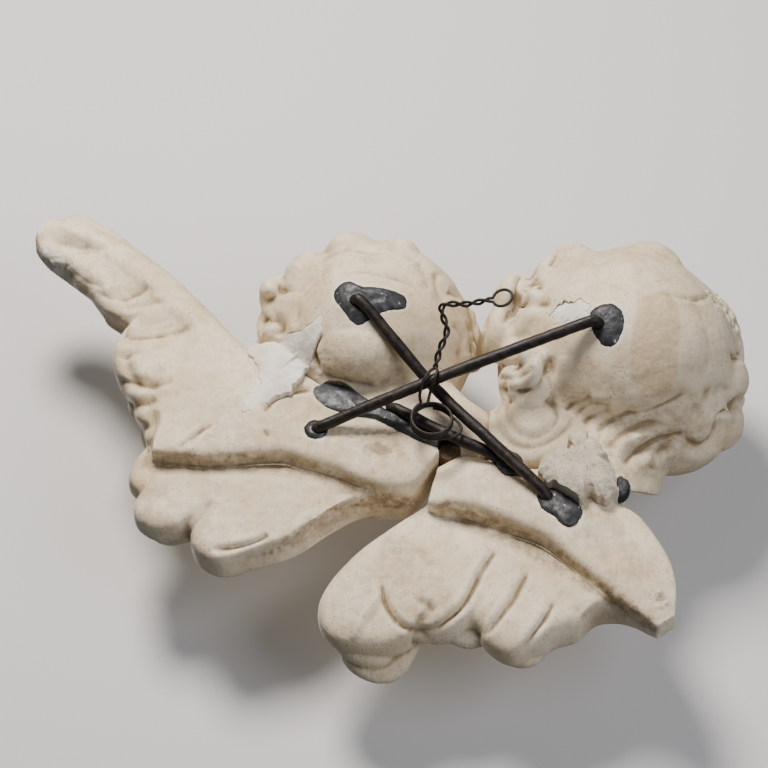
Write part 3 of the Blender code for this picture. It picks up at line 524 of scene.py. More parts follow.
FILLINGS = {
    "lead_left_head": dict(
        outline=[(-29, -38), (-22, -31), (-12, -35.5), (1, -36), (11.5, -39.5), (12, -46), (1, -49.5),
                 (-7, -54), (-15, -57), (-22, -51)],
        surface=skull_back(LEFT_HEAD), rise=1.6, sink=8.0),
    "lead_right_head": dict(
        outline=[(120, -58), (131, -56.5), (137, -64), (136, -73), (131, -79.5), (124, -77), (119, -67)],
        surface=skull_back(RIGHT_HEAD), rise=1.4, sink=8.0),
    "lead_left_wing": dict(
        outline=disc((-39, -110), 6.8), surface=level(SLAB_LEVEL - 0.5), rise=2.2, sink=8.0),
    "lead_seam": dict(
        outline=[(-41, -82), (-34, -76), (-21, -79), (-8, -89), (4, -97), (22, -101), (35, -108), (42, -117),
                 (36, -121), (22, -117), (7, -108), (-6, -101), (-20, -99), (-34, -93)],
        surface=level(SLAB_LEVEL), rise=1.8, sink=9.0),
    "lead_middle": dict(
        outline=[(64, -131), (66, -137), (71, -141), (77, -139), (79.5, -133), (77, -127), (71, -124),
                 (66, -126)],
        surface=level(97.5), rise=1.5, sink=9.0),
    "lead_neck": dict(
        outline=[(131, -150), (135, -154), (140, -149), (139, -143), (134, -141)],
        surface=level(94.0), rise=1.5, sink=8.0),
    "lead_right_wing": dict(
        outline=[(88, -154), (96, -150), (107, -158), (112, -165), (109, -173), (103, -176), (96, -169),
                 (89, -163)],
        surface=level(96.0), rise=1.8, sink=10.0),
    "plaster_left": dict(
        outline=[(-79, -46), (-70, -45), (-60, -47), (-48, -50), (-38, -48), (-36, -55), (-42, -66),
                 (-48, -73), (-51, -79), (-54, -84), (-62, -86), (-68, -90), (-76, -94), (-83, -94),
                 (-80, -86), (-72, -76), (-74, -65), (-77, -56)],
        surface=plaster_rise, rise=1.2, sink=9.0),
    "plaster_right_head": dict(
        outline=[(98, -49.5), (105, -48), (116, -51.5), (118, -57), (116, -62.5), (107, -61.5), (99, -58)],
        surface=skull_back(RIGHT_HEAD), rise=0.8, sink=4.0),
    "mortar_right": dict(
        outline=[(90, -131), (94, -127), (98, -125), (102, -128), (105, -127), (106, -120), (109, -114),
                 (113, -111), (117, -114), (121, -120), (127, -129), (129, -136), (131, -145), (134, -150),
                 (132, -156), (127, -161), (122, -159), (116, -158), (111, -162), (105, -161), (97, -155),
                 (91, -149), (90, -142)],
        surface=level(MORTAR_LEVEL), rise=7.0, sink=14.0),
}

RODS = {
    "rod_down": [(-19, -41, 129), (-16, -44, 135), (-10, -49.5, 135.5), (28, -90.5, 114.5), (60, -124, 107.5),
                 (84, -148, 102), (91, -155, 98.5), (96, -160, 90)],
    "rod_cross": [(-42, -111, 92), (-38, -110, 99), (-31, -108.5, 103), (28, -92.5, 122.2), (111, -70, 144),
                  (120, -67.5, 144.5), (127, -66, 138)],
    "rod_short": [(0, -91, 93), (7, -96, 99.5), (17, -103.5, 101.5), (32, -113.5, 102), (42, -119.5, 102),
                  (51, -123.5, 101), (60, -127, 99), (69, -130, 92)],
}


def dowel_tube(sides, grow=0.0, headroom=0.0):
    """The round peg between its low and high ends; its hole is wider, deeper and open at the back."""
    low, high = DOWEL["low"], DOWEL["high"]
    line = [(*DOWEL["centre"], out) for out in (low - grow, (low + high) / 2, high + headroom)]
    return tube(line, DOWEL["radius"] + grow, sides)


def wire_line():
    """A helix that bulges on one side, then the stem plus and minus a turning offset, and an oval."""
    swing = np.linspace(0, 2 * math.pi * COIL_TURNS, round(30 * COIL_TURNS))[:, None]
    turn = COIL_END + 2 * math.pi * COIL_TURNS - swing
    aside = (turn - COIL_BULGE_AT + math.pi) % (2 * math.pi) - math.pi
    reach = COIL_RADIUS + COIL_BULGE * bump(aside, 0, 0.55) * (1 - step(swing, 5.2, 8.0))
    coil = COIL_TOP + np.concatenate([
        reach * np.cos(turn), reach * np.sin(turn), -COIL_PITCH * (COIL_TURNS - swing / 2 / math.pi)], 1)

    stem = even_line([(29.5, -87, 127.5), (32, -79, 133), (36, -71, 140), (33.5, -64, 146), (33, -61, 149.5),
                      (37, -59.5, 150.5), (48, -59, 150), (60, -56, 150)], 0.9)[::-1]
    side, over = carried_sides(stem, np.array([0, 1.0, 0]))
    run = np.concatenate([[0], np.cumsum(np.linalg.norm(np.diff(stem, axis=0), axis=1))])[:, None]
    wound = 2 * math.pi * run / TWIST_PITCH
    offset = TWIST_RADIUS * (np.cos(wound) * side + np.sin(wound) * over)

    alpha = np.radians(np.linspace(EYE_START, EYE_START - EYE_SWEEP, 48))[:, None]
    along = np.array([math.cos(EYE_TILT), math.sin(EYE_TILT), 0])
    across = np.array([-math.sin(EYE_TILT), math.cos(EYE_TILT), 0])
    eye = EYE + EYE_HALF[0] * np.cos(alpha) * along + EYE_HALF[1] * np.sin(alpha) * across

    up_to_stem = even_line([coil[-1], (20.5, -101, 120), (23, -95, 126), (26.5, -90, 127.6),
                            (stem + offset)[-1]], 1.2)
    down_to_end = even_line([(stem - offset)[-1], (30.5, -90, 127.9), (29, -95, 127), (26.5, -100, 120.5),
                             (25, -105, 116.5)], 1.2)
    going, coming = (stem + offset)[::-1], stem - offset
    return np.concatenate([coil, up_to_stem[1:-1], going, eye, coming, down_to_end[1:]])


# %% [markdown]
# ## From numbers to meshes
#
# The shapes of one block overlap, so they are melted into one skin by a voxel remesh, fine enough (about a
# millimetre) to hold chisel work. The skin is then plain numbers again: a smoothing step moves each vertex
# to the mean of its neighbours, which removes the voxels' steps, and relief moves it along its normal.

# %%
def make_object(name, shapes):
    """One mesh from closed shapes; its faces are turned outwards."""
    verts, faces, count = [], [], 0
    for points, polygons in shapes:
        verts.append(place(points))
        faces += [[index + count for index in polygon] for polygon in polygons]
        count += len(points)
    mesh = bpy.data.meshes.new(name)
    mesh.from_pydata(np.vstack(verts).tolist(), [], faces)
    work = bmesh.new()
    work.from_mesh(mesh)
    bmesh.ops.recalc_face_normals(work, faces=work.faces)
    work.to_mesh(mesh)
    work.free()
    thing = bpy.data.objects.new(name, mesh)
    bpy.context.collection.objects.link(thing)
    return thing


def bake(thing):
    """The modifiers' result becomes the mesh."""
    mesh = bpy.data.meshes.new_from_object(thing.evaluated_get(bpy.context.evaluated_depsgraph_get()))
    old = thing.data
    thing.modifiers.clear()
    thing.data = mesh
    bpy.data.meshes.remove(old)
    return thing


def fuse(thing, voxel):
    remesh = thing.modifiers.new("fuse", "REMESH")
    remesh.mode = "VOXEL"
    remesh.voxel_size = voxel * MM
    return bake(thing)


def cut(thing, *tools):
    for tool in tools:
        boolean = thing.modifiers.new(tool.name, "BOOLEAN")
        boolean.operation = "DIFFERENCE"
        boolean.solver = "MANIFOLD"
        boolean.object = tool
    return bake(thing)


def read_points(mesh):
    flat = np.empty(len(mesh.vertices) * 3)
    mesh.vertices.foreach_get("co", flat)
    return unplace(flat.reshape(-1, 3))


def write_points(mesh, points):
    mesh.vertices.foreach_set("co", place(points).ravel())
    mesh.update()


def read_edges(mesh):
    pairs = np.empty(len(mesh.edges) * 2, dtype=np.int64)
    mesh.edges.foreach_get("vertices", pairs)
    return pairs.reshape(-1, 2)


def read_normals(mesh):
    """Vertex normals in the right, up, out sense."""
    flat = np.empty(len(mesh.vertices) * 3)
    mesh.vertex_normals.foreach_get("vector", flat)
    x, y, z = flat.reshape(-1, 3).T
    return np.stack([-x, z, y], 1)


def neighbour_mean(values, edges, counts):
    """For each vertex the mean of its neighbours' values, summed edge by edge."""
    a, b = edges.T
    n = len(counts)
    columns = values.reshape(n, -1).T
    total = [np.bincount(a, c[b], n) + np.bincount(b, c[a], n) for c in columns]
    return (np.stack(total, 1) / counts[:, None]).reshape(values.shape)


def smoothed(values, edges, rounds, back=0.0):
    """Each round goes halfway to the neighbours' mean, then with back a little less far away again."""
    counts = np.maximum(np.bincount(edges.ravel(), minlength=len(values)), 1)
    for _ in range(rounds):
        values = values + 0.5 * (neighbour_mean(values, edges, counts) - values)
        if back:
            values = values - back * (neighbour_mean(values, edges, counts) - values)
    return values


def noise(points, grain, seed):
    """Smooth random values between 0 and 1 on a lattice of the given grain in millimetres."""
    p = np.asarray(points, float) / grain + 1000.0
    cell = np.floor(p).astype(np.int64)
    f = p - cell
    f = f * f * (3 - 2 * f)

    def corner(offset):
        x, y, z = (cell + offset).T
        h = (x * 374761393 + y * 668265263 + z * 2147483647 + seed * 1442695041) & 0xFFFFFFFF
        h = ((h ^ (h >> 13)) * 1274126177) & 0xFFFFFFFF
        h = ((h ^ (h >> 16)) * 2246822519) & 0xFFFFFFFF
        return ((h ^ (h >> 15)) & 0xFFFFFF) / float(0xFFFFFF)

    total = np.zeros(len(p))
    for dx in (0, 1):
        for dy in (0, 1):
            for dz in (0, 1):
                weight = np.abs(1 - dx - f[:, 0]) * np.abs(1 - dy - f[:, 1]) * np.abs(1 - dz - f[:, 2])
                total += weight * corner(np.array([dx, dy, dz]))
    return total


# %% [markdown]
# ## Chisel work
#
# The last layer is what the chisel and later knocks left: grooves between locks and feathers, steps where
# one feather lies over the next, soft hollows, chips and rough breaks. It is easiest to say where these are
# in the picture, so a vertex is first projected to the camera's picture plane, in pixels, and then moved
# along its normal by a sum of strokes, mounds and rough places.

# %%
TO_CAMERA = np.array([0, -math.cos(ELEVATION), math.sin(ELEVATION)])
PICTURE_UP = np.array([0, math.sin(ELEVATION), math.cos(ELEVATION)])


def seen(points):
    """A pinhole: right and up on the picture plane, made larger by distance over (distance - nearness)."""
    from_target = points - TARGET
    scale = PIXELS_PER_MM * DISTANCE / (DISTANCE - from_target @ TO_CAMERA)
    return PICTURE / 2 + np.stack([from_target[:, 0] * scale, -(from_target @ PICTURE_UP) * scale], 1)


def nearest(places, line):
    """Signed distance to a line, positive on its right-hand side, and the share of the line passed."""
    a, b = line[:-1], line[1:]
    way = b - a
    rel = places[:, None] - a[None]
    t = np.clip((rel * way).sum(-1) / (way**2).sum(-1), 0, 1)
    gap = rel - t[..., None] * way
    pick = (gap**2).sum(-1).argmin(1)
    rows = np.arange(len(places))
    gap, way = gap[rows, pick], way[pick]
    side = np.sign(way[:, 0] * gap[:, 1] - way[:, 1] * gap[:, 0])
    return side * np.linalg.norm(gap, axis=1), (pick + t[rows, pick]) / len(a)


def stroke(places, curve, width, depth, over=0.0, reach=9.0):
    """A bell-shaped groove that fades at both ends; over raises its right side and sinks its left."""
    line = smooth_line(curve, 8 * len(curve))
    near = np.where(((places > line.min(0) - 2.5 * reach) & (places < line.max(0) + 2.5 * reach)).all(1))[0]
    height = np.zeros(len(places))
    if len(near):
        gap, share = nearest(places[near], line)
        fade = 1 - np.abs(2 * share - 1) ** 6
        cut_in = -depth * bump(gap, 0, width) + 0.2 * depth * bump(np.abs(gap), 2.2 * width, width)
        shelf = over * np.sign(gap) * np.exp(-np.abs(gap) / reach) * (1 - bump(gap, 0, 1.2))
        height[near] = fade * (cut_in + shelf)
    return height


def mound(places, centre, radii, tilt, height):
    """1 - q squared, to the power 1.3, inside an oval, q being the distance in radii."""
    c, s = math.cos(math.radians(tilt)), math.sin(math.radians(tilt))
    x, y = (places - centre).T
    q = ((x * c + y * s) / radii[0]) ** 2 + ((y * c - x * s) / radii[1]) ** 2
    return height * np.clip(1 - q, 0, 1) ** 1.3


def within(places, outline, soft=2.0):
    """1 inside a closed outline and 0 outside, by the even-odd rule, with a soft rim."""
    ring = smooth_line(outline, 6 * len(outline), closed=True)
    a, b = ring, np.roll(ring, -1, 0)
    x, y = places[:, 0][:, None], places[:, 1][:, None]
    crossing = (a[:, 1] > y) != (b[:, 1] > y)
    at = a[:, 0] + (y - a[:, 1]) * (b[:, 0] - a[:, 0]) / np.where(b[:, 1] == a[:, 1], 1e-9, b[:, 1] - a[:, 1])
    inside = (crossing & (x < at)).sum(1) % 2 == 1
    gap, _ = nearest(places, np.vstack([ring, ring[:1]]))
    return step(np.where(inside, 1, -1) * np.abs(gap), -soft, soft)


# A stroke is a curve with its width, depth and step; a mound has a centre, radii, a tilt and a rise; a
# rough place has an outline and a depth.
STROKES = {
    "left_head": [
        ([(321, 334), (313, 348), (315, 359), (321, 373)], 3.5, 1.6, 0.5),
        ([(321, 373), (333, 379), (354, 384), (375, 386)], 6, 1.2, 0.4),
        ([(319, 266), (328, 255), (346, 250), (361, 251), (383, 254)], 8, 1.9, 0.8),
        ([(320, 262), (318, 275), (306, 286), (296, 300), (295, 313), (293, 326)], 8, 1.5, 0.5),
        ([(280, 276), (283, 288), (293, 288), (301, 281), (318, 264)], 6, 1.7, 0),
        ([(277, 276), (280, 290), (273, 298), (260, 303)], 6, 1.6, 0),
        ([(256, 320), (265, 321), (276, 320), (281, 327), (279, 337)], 6, 1.6, 0),
        ([(335, 278), (356, 273), (381, 276), (406, 284), (419, 295), (428, 312)], 9, 0.9, 0.5),
        ([(416, 262), (424, 275), (428, 291)], 6, 1.3, 0.4),
        ([(434, 272), (437, 288), (443, 305)], 6, 1.4, 0.4),
        ([(448, 290), (455, 293), (468, 298)], 5, 1.2, 0),
        ([(454, 323), (462, 339), (456, 361)], 5, 1.3, 0),
        ([(468, 320), (472, 336), (468, 355)], 5, 1.3, 0),
        ([(446, 330), (451, 343), (447, 360)], 5, 0.9, 0),
        ([(388, 246), (404, 250), (420, 258)], 6, 0.9, 0)],
    "right_head": [
        ([(535, 262), (522, 277), (519, 293), (515, 308), (503, 327)], 7, 2.4, -0.8),
        ([(551, 268), (557, 253), (578, 245)], 7, 1.3, 0.5),
        ([(523, 291), (535, 287), (545, 292)], 5, 1.1, 0),
        ([(534, 268), (531, 280), (543, 289)], 5, 1.0, 0),
        ([(515, 309), (535, 304), (553, 305)], 6, 1.2, 0),
        ([(493, 364), (511, 368), (524, 363), (536, 352)], 5, 1.4, 0),
        ([(490, 372), (501, 378), (518, 377), (536, 367)], 5, 1.6, 0),
        ([(498, 388), (517, 393), (539, 386), (549, 372), (550, 355)], 7, 1.9, 0.5),
        ([(502, 398), (498, 418), (506, 435), (522, 446), (542, 444), (561, 431), (572, 415)], 7, 1.4, -0.3),
        ([(517, 398), (509, 402), (507, 417), (517, 431), (533, 437), (550, 428), (557, 417), (552, 404),
          (535, 396)], 5, 0.9, 0),
        ([(573, 417), (583, 409), (594, 405), (611, 405)], 5, 1.5, 0),
        ([(581, 424), (594, 415), (611, 411)], 5, 1.3, 0),
        ([(564, 412), (572, 405), (583, 400), (592, 396)], 5, 1.2, 0),
        ([(596, 433), (609, 424), (627, 419), (651, 415), (675, 404), (690, 392)], 11, 2.3, 0.9),
        ([(607, 448), (620, 435), (638, 428), (666, 424)], 6, 1.7, 0),
        ([(625, 466), (636, 453), (651, 444), (673, 437), (684, 434)], 7, 2.4, 0.6),
        ([(652, 470), (656, 457), (666, 445)], 5, 1.4, 0),
        ([(680, 430), (688, 442), (700, 448), (713, 442), (719, 431), (722, 415), (737, 404), (747, 395)],
         6, 2.4, 0.6),
        ([(699, 424), (700, 407), (711, 393), (728, 382)], 7, 1.2, 0),
        ([(695, 436), (691, 418), (696, 402)], 6, 1.0, 0),
        ([(708, 430), (710, 414), (722, 400)], 5, 1.0, 0),
        ([(731, 357), (744, 353)], 5, 1.8, 0),
        ([(660, 291), (671, 295), (695, 299), (710, 297)], 3, 0.6, 0),
        ([(596, 252), (625, 246), (650, 251), (676, 262)], 9, 0.9, 0.4),
        ([(609, 246), (616, 240)], 5, 1.4, 0),
        ([(690, 300), (702, 318), (708, 345), (704, 372)], 10, 0.8, 0.3)],
    "left_wings": [
        ([(34, 240), (51, 241), (77, 248), (94, 248), (107, 251)], 8, 1.5, 0.3),
        ([(92, 294), (112, 300), (128, 300), (143, 292), (150, 285)], 7, 1.7, 0.5),
        ([(124, 309), (143, 305), (166, 301)], 4, 0.9, 0),
        ([(95, 313), (107, 323), (128, 334), (153, 333), (179, 327), (193, 319)], 9, 2.2, -0.6),
        ([(135, 313), (140, 323), (158, 324), (181, 309)], 7, 1.1, 0.3),
        ([(70, 272), (85, 284), (104, 288)], 8, 1.2, 0.3),
        ([(116, 381), (143, 384), (158, 383), (174, 378)], 5, 1.7, -0.4),
        ([(145, 342), (128, 356), (128, 369), (138, 381), (153, 381), (158, 374), (165, 368)], 6, 1.4, 0),
        ([(118, 359), (143, 351), (170, 343)], 4, 0.7, 0),
        ([(155, 384), (153, 399), (150, 410), (154, 428)], 7, 1.1, 0),
        ([(129, 408), (143, 404), (155, 396)], 6, 1.4, 0),
        ([(137, 429), (150, 425), (157, 410)], 6, 1.2, 0),
        ([(178, 449), (194, 435), (214, 424)], 3, 0.9, 0.3),
        ([(188, 446), (204, 427)], 3, 0.7, 0),
        ([(160, 398), (179, 392), (196, 387)], 6, 0.6, 0),
        ([(170, 412), (190, 405), (216, 404)], 8, 0.5, 0),
        ([(245, 354), (255, 366), (264, 381)], 3.5, 0.9, 0),
        ([(263, 412), (275, 399), (293, 392), (313, 390)], 3, 1.8, 0),
        ([(264, 429), (269, 436)], 3, 0.8, 0),
        ([(212, 549), (231, 548), (249, 544), (262, 538), (268, 532)], 3.5, 1.6, -0.5),
        ([(191, 543), (192, 528), (201, 515), (214, 499)], 8, 1.1, 0.3),
        ([(134, 501), (153, 496), (168, 494)], 8, 1.0, 0),
        ([(270, 556), (296, 540), (312, 521), (340, 511), (372, 507), (404, 505)], 5, 0.7, 0)],
    "right_wing": [
        ([(383, 574), (385, 598), (394, 616), (410, 629), (433, 629), (448, 619), (463, 604), (473, 586),
          (479, 573), (489, 558), (496, 549)], 4, 1.9, -1.1),
        ([(482, 637), (499, 616), (512, 599), (519, 586), (527, 572)], 4, 1.7, -0.9),
        ([(520, 653), (535, 632), (545, 616), (553, 601)], 4, 1.4, -0.7),
        ([(352, 641), (364, 614), (381, 590)], 5, -1.3, 0),
        ([(337, 656), (359, 664), (384, 664), (405, 655), (419, 640)], 5, 2.0, 0),
        ([(418, 599), (428, 606), (434, 612)], 4, 1.2, 0),
        ([(560, 590), (575, 603), (584, 622)], 8, 0.7, 0),
        ([(397, 545), (385, 560), (378, 578)], 10, 0.9, 0)],
}
MOUNDS = {
    "left_head": [
        ((356, 357), (44, 29), 10, 4.5), ((350, 243), (30, 14), 0, 2.0), ((292, 270), (13, 11), 0, 1.6),
        ((268, 288), (11, 11), 0, 1.6), ((268, 331), (11, 12), 0, 1.8), ((430, 330), (22, 40), -20, 0.8)],
    "right_head": [
        ((531, 418), (26, 21), 0, 2.6), ((520, 352), (34, 17), -10, 2.0), ((560, 287), (36, 27), -25, 2.4),
        ((640, 258), (40, 16), 8, 1.4), ((701, 417), (16, 26), 15, 2.0), ((640, 436), (30, 9), -18, 1.8),
        ((666, 458), (24, 10), -14, 1.8), ((700, 345), (22, 34), 0, 1.0)],
    "left_wings": [
        ((381, 450), (17, 6), 8, -1.8), ((137, 365), (16, 14), 0, 1.4), ((136, 395), (13, 11), 0, 1.0),
        ((70, 232), (34, 10), 18, 1.0), ((160, 525), (26, 18), 0, 1.2), ((222, 562), (26, 14), -15, 1.4),
        ((120, 300), (22, 8), 0, 1.0), ((300, 425), (40, 18), 0, 0.8), ((230, 395), (60, 30), 0, -0.6)],
    "right_wing": [
        ((425, 590), (34, 32), -20, 1.5), ((352, 625), (24, 30), 0, 1.0), ((495, 600), (18, 34), 25, 0.9),
        ((528, 612), (14, 30), 25, 0.8), ((424, 535), (40, 18), 25, -0.8), ((660, 598), (9, 7), 0, -1.2)],
}
BROKEN_TIP = [(37, 247), (52, 246), (67, 256), (74, 269), (69, 281), (53, 281), (37, 262)]
BROKEN_EDGE = [(262, 556), (290, 536), (301, 525), (313, 517), (346, 504), (362, 498), (373, 503),
               (410, 503), (424, 500), (384, 520), (336, 534), (300, 549)]
ROUGH = {
    "left_head": [([(258, 345), (322, 330), (324, 372), (300, 392), (262, 400)], 0.5)],
    "right_head": [([(706, 292), (724, 296), (741, 320), (739, 335), (724, 318)], 1.6),
                   ([(638, 302), (677, 302), (672, 389), (633, 386)], 0.22)],
    "left_wings": [(BROKEN_TIP, 0.9), (BROKEN_EDGE, 1.3),
                   ([(345, 423), (395, 426), (392, 436), (350, 436)], 0.8)],
    "right_wing": [([(648, 590), (664, 593), (668, 606), (652, 606)], 1.2),
                   ([(340, 655), (352, 655), (354, 682), (340, 676)], 0.8)],
}
HEAD_WORK = {"rounds": 80, "fill": 0.9, "soften": 0.6, "starts": (44, 62), "force": 1.45}
WING_WORK = {"rounds": 150, "fill": 1.0, "soften": 0.15, "starts": (60, 84), "force": 1.35}
WAVINESS = ((1.3, 21, 1), (0.6, 9, 2), (0.18, 3.6, 3))
STROKE_WIDTH = 0.85
GRIT = 1.6


def carve(name, mesh):
    """Fill the narrow corners, add waviness at three grains, then the strokes, mounds and rough patches."""
    edges = read_edges(mesh)
    points, normals = read_points(mesh), read_normals(mesh)
    work = HEAD_WORK if name.endswith("head") else WING_WORK
    soft = smoothed(points, edges, work["rounds"])
    lift = np.clip(((soft - points) * normals).sum(1), 0, None)
    back = step(points[:, 2], *work["starts"])
    points = points + (work["fill"] * back * lift)[:, None] * normals
    points = points + (work["soften"] * back)[:, None] * (smoothed(points, edges, 14) - points)
    write_points(mesh, points)
    normals = read_normals(mesh)
    facing = step(normals @ TO_CAMERA, 0.02, 0.30) * back
    places = seen(points)
    height = sum(size * (noise(points, grain, number) - 0.5) for size, grain, number in WAVINESS)
    height = height * (0.25 + 0.75 * back)
    wobble = 0.75 + 0.5 * noise(points, 7, 5)
    for curve, width, depth, over in STROKES[name]:
        height += work["force"] * facing * wobble * stroke(places, curve, STROKE_WIDTH * width, depth, over)
    for centre, radii, tilt, rise in MOUNDS[name]:
        height += facing * mound(places, centre, radii, tilt, rise)
    grit = noise(points, 2.6, 8) + 0.6 * noise(points, 1.5, 9) - 0.8
    for outline, depth in ROUGH[name]:
        height += facing * GRIT * depth * within(places, outline) * grit
    write_points(mesh, points + height[:, None] * normals)


# %% [markdown]
# ## Finishes
#
# Every finish is worked out from noise at the piece's own coordinates, so it needs no pictures. The stones
# also carry a number at each vertex that says how hollow the place is: the difference between the surface
# and a much smoothed copy of it. Where that number is low the marble is browned, partly as dirt and partly as
# painted shade in the recesses, and edges stay light.

# %%
def colour(hex_code):
    """sRGB to linear: below 0.04045 divided by 12.92, above it ((c + 0.055) / 1.055) to the power 2.4."""
    parts = [int(hex_code[i:i + 2], 16) / 255 for i in (1, 3, 5)]
    return tuple(c / 12.92 if c <= 0.04045 else ((c + 0.055) / 1.055) ** 2.4 for c in parts) + (1.0,)


def start_material(name, roughness, metallic=0.0):
    material = bpy.data.materials.new(name)
    material.use_nodes = True
    tree = material.node_tree
    shader = tree.nodes["Principled BSDF"]
    shader.inputs["Roughness"].default_value = roughness
    shader.inputs["Metallic"].default_value = metallic
    return material, tree, shader


def add(tree, kind, inputs=None, **settings):
    """One node with its settings; an input is a socket to link from or a plain value."""
    node = tree.nodes.new("ShaderNode" + kind)
    for key, value in settings.items():
        setattr(node, key, value)
    for key, value in (inputs or {}).items():
        if isinstance(value, bpy.types.NodeSocket):
            tree.links.new(value, node.inputs[key])
        else:
            node.inputs[key].default_value = value
    return node


def noise_node(tree, grain, detail=4.0, rough=0.55, where=None):
    """Noise whose lumps are about grain millimetres across."""
    where = where or add(tree, "TexCoord").outputs["Object"]
    return add(tree, "TexNoise", {"Vector": where, "Scale": 1 / (grain * MM), "Detail": detail,
                                  "Roughness": rough}).outputs["Fac"]


def ramp(tree, value, low, high, start=0.0, end=1.0):
    """A straight change from start at low to end at high, kept between them."""
    return add(tree, "MapRange", {"Value": value, "From Min": low, "From Max": high, "To Min": start,
                                  "To Max": end}).outputs["Result"]


def mixed(tree, share, first, second):
    """The first colour, moved towards the second by share."""
    node = add(tree, "Mix", {"Factor": share}, data_type="RGBA")
    for socket, value in (("A", first), ("B", second)):
        target = [s for s in node.inputs if s.name == socket and s.type == "RGBA"][0]
        if isinstance(value, bpy.types.NodeSocket):
            tree.links.new(value, target)
        else:
            target.default_value = value
    return [s for s in node.outputs if s.type == "RGBA"][0]


def maths(tree, operation, a, b=0.0):
    return add(tree, "Math", {0: a, 1: b}, operation=operation).outputs[0]


def attribute(tree, name):
    """A number that the mesh carries at each vertex."""
    return add(tree, "Attribute", attribute_name=name).outputs["Fac"]


def bumped(tree, shader, height, depth):
    """Relief of depth millimetres that the light sees but the mesh doesn't hold."""
    node = add(tree, "Bump", {"Height": height, "Strength": 1.0, "Distance": depth * MM})
    tree.links.new(node.outputs["Normal"], shader.inputs["Normal"])


def marble_material(name, tooling):
    """Old marble: creamy, waxy, specked, browned in its hollows by dirt and painted shade; tooling is the
    depth of chisel lines.
    """
    material, tree, shader = start_material(name, 0.55)
    hollow, hollow_wide = attribute(tree, "hollow"), attribute(tree, "hollow_wide")
    cloud = noise_node(tree, 45, 5)
    mottle = noise_node(tree, 9, 6, 0.6)
    speck = noise_node(tree, 1.6, 3, 0.6)
    base = mixed(tree, ramp(tree, cloud, 0.35, 0.65), colour("#EEE1C9"), colour("#DAC7A6"))
    base = mixed(tree, ramp(tree, mottle, 0.46, 0.70, 0.0, 0.5), base, colour("#BFA57C"))
    # Browning by hollowness: partly dirt, partly painted shade in recesses and on the walls under the ledges.
    dirt_and_shade = maths(tree, "ADD", ramp(tree, hollow, -0.05, -0.55),
                 ramp(tree, hollow_wide, -0.3, -3.0, 0.0, 0.55))
    dirt_and_shade = maths(tree, "MULTIPLY", dirt_and_shade, ramp(tree, mottle, 0.30, 0.60, 0.45, 1.0))
    base = mixed(tree, ramp(tree, dirt_and_shade, 0.0, 1.0, 0.0, 0.85), base, colour("#74603F"))
    base = mixed(tree, ramp(tree, hollow, 0.10, 0.60, 0.0, 0.5), base, colour("#F3E9D6"))
    # Brown by place: stain in places, and painted shade on the walls under the wings' ledges.
    brown = maths(tree, "MULTIPLY", attribute(tree, "brown"),
                  ramp(tree, noise_node(tree, 6, 6, 0.65), 0.34, 0.62))
    base = mixed(tree, maths(tree, "MULTIPLY", brown, 0.8), base, colour("#9B8768"))
    residue = maths(tree, "MULTIPLY", attribute(tree, "residue"),
                    ramp(tree, noise_node(tree, 3, 6, 0.7), 0.36, 0.56, 0.65, 1.0))
    base = mixed(tree, maths(tree, "MULTIPLY", residue, 0.6), base, colour("#BFA77C"))
    base = mixed(tree, maths(tree, "MULTIPLY", attribute(tree, "scar"), 0.7), base, colour("#C9C6BB"))
    base = mixed(tree, ramp(tree, speck, 0.61, 0.67, 0.0, 0.55), base, colour("#7E6442"))
    tree.links.new(base, shader.inputs["Base Color"])
    shader.inputs["Subsurface Weight"].default_value = 0.06
    shader.inputs["Subsurface Radius"].default_value = (0.004, 0.003, 0.002)
    height = maths(tree, "ADD", noise_node(tree, 2.2, 5, 0.65),
                   maths(tree, "MULTIPLY", noise_node(tree, 0.7, 3), 0.5))
    turned = add(tree, "Mapping", {"Vector": add(tree, "TexCoord").outputs["Object"],
                                   "Rotation": (0, math.radians(-35), 0), "Scale": (1, 0.3, 0.09)})
    lines = maths(tree, "MULTIPLY", noise_node(tree, 3.2, 2, 0.5, turned.outputs["Vector"]), tooling)
    bumped(tree, shader, maths(tree, "ADD", height, lines), 0.35)
    return material


def iron_material():
    """Wrought iron long rusted and waxed: nearly black, brown where it is worn, finely pitted."""
    material, tree, shader = start_material("rusty_wrought_iron", 0.5, 0.35)
    patches = noise_node(tree, 5, 5, 0.6)
    base = mixed(tree, ramp(tree, patches, 0.38, 0.62), colour("#121111"), colour("#2B2420"))
    tree.links.new(base, shader.inputs["Base Color"])
    tree.links.new(ramp(tree, patches, 0.3, 0.7, 0.34, 0.62), shader.inputs["Roughness"])
    bumped(tree, shader, noise_node(tree, 1.0, 4, 0.6), 0.25)
    return material


def lead_material():
    """Poured lead, hammered and scratched: a dull dark grey skin with bright bare spots."""
    material, tree, shader = start_material("poured_lead", 0.55, 0.5)
    patches = noise_node(tree, 4.5, 5, 0.6)
    base = mixed(tree, ramp(tree, patches, 0.40, 0.62), colour("#2C2E31"), colour("#484A4E"))
    base = mixed(tree, ramp(tree, noise_node(tree, 3.0, 3), 0.66, 0.72), base, colour("#C9CACC"))
    tree.links.new(base, shader.inputs["Base Color"])
    tree.links.new(ramp(tree, patches, 0.35, 0.65, 0.62, 0.42), shader.inputs["Roughness"])
    bumped(tree, shader, noise_node(tree, 3.0, 4, 0.6), 0.35)
    return material


def plaster_material():
    """Gypsum plaster, smeared on by hand and dusty: off-white and matt."""
    material, tree, shader = start_material("smeared_plaster", 0.9)
    base = mixed(tree, ramp(tree, noise_node(tree, 12, 5), 0.35, 0.68), colour("#F6F2EA"), colour("#D9D0C0"))
    tree.links.new(base, shader.inputs["Base Color"])
    bumped(tree, shader, noise_node(tree, 2.0, 6, 0.65), 0.5)
    return material


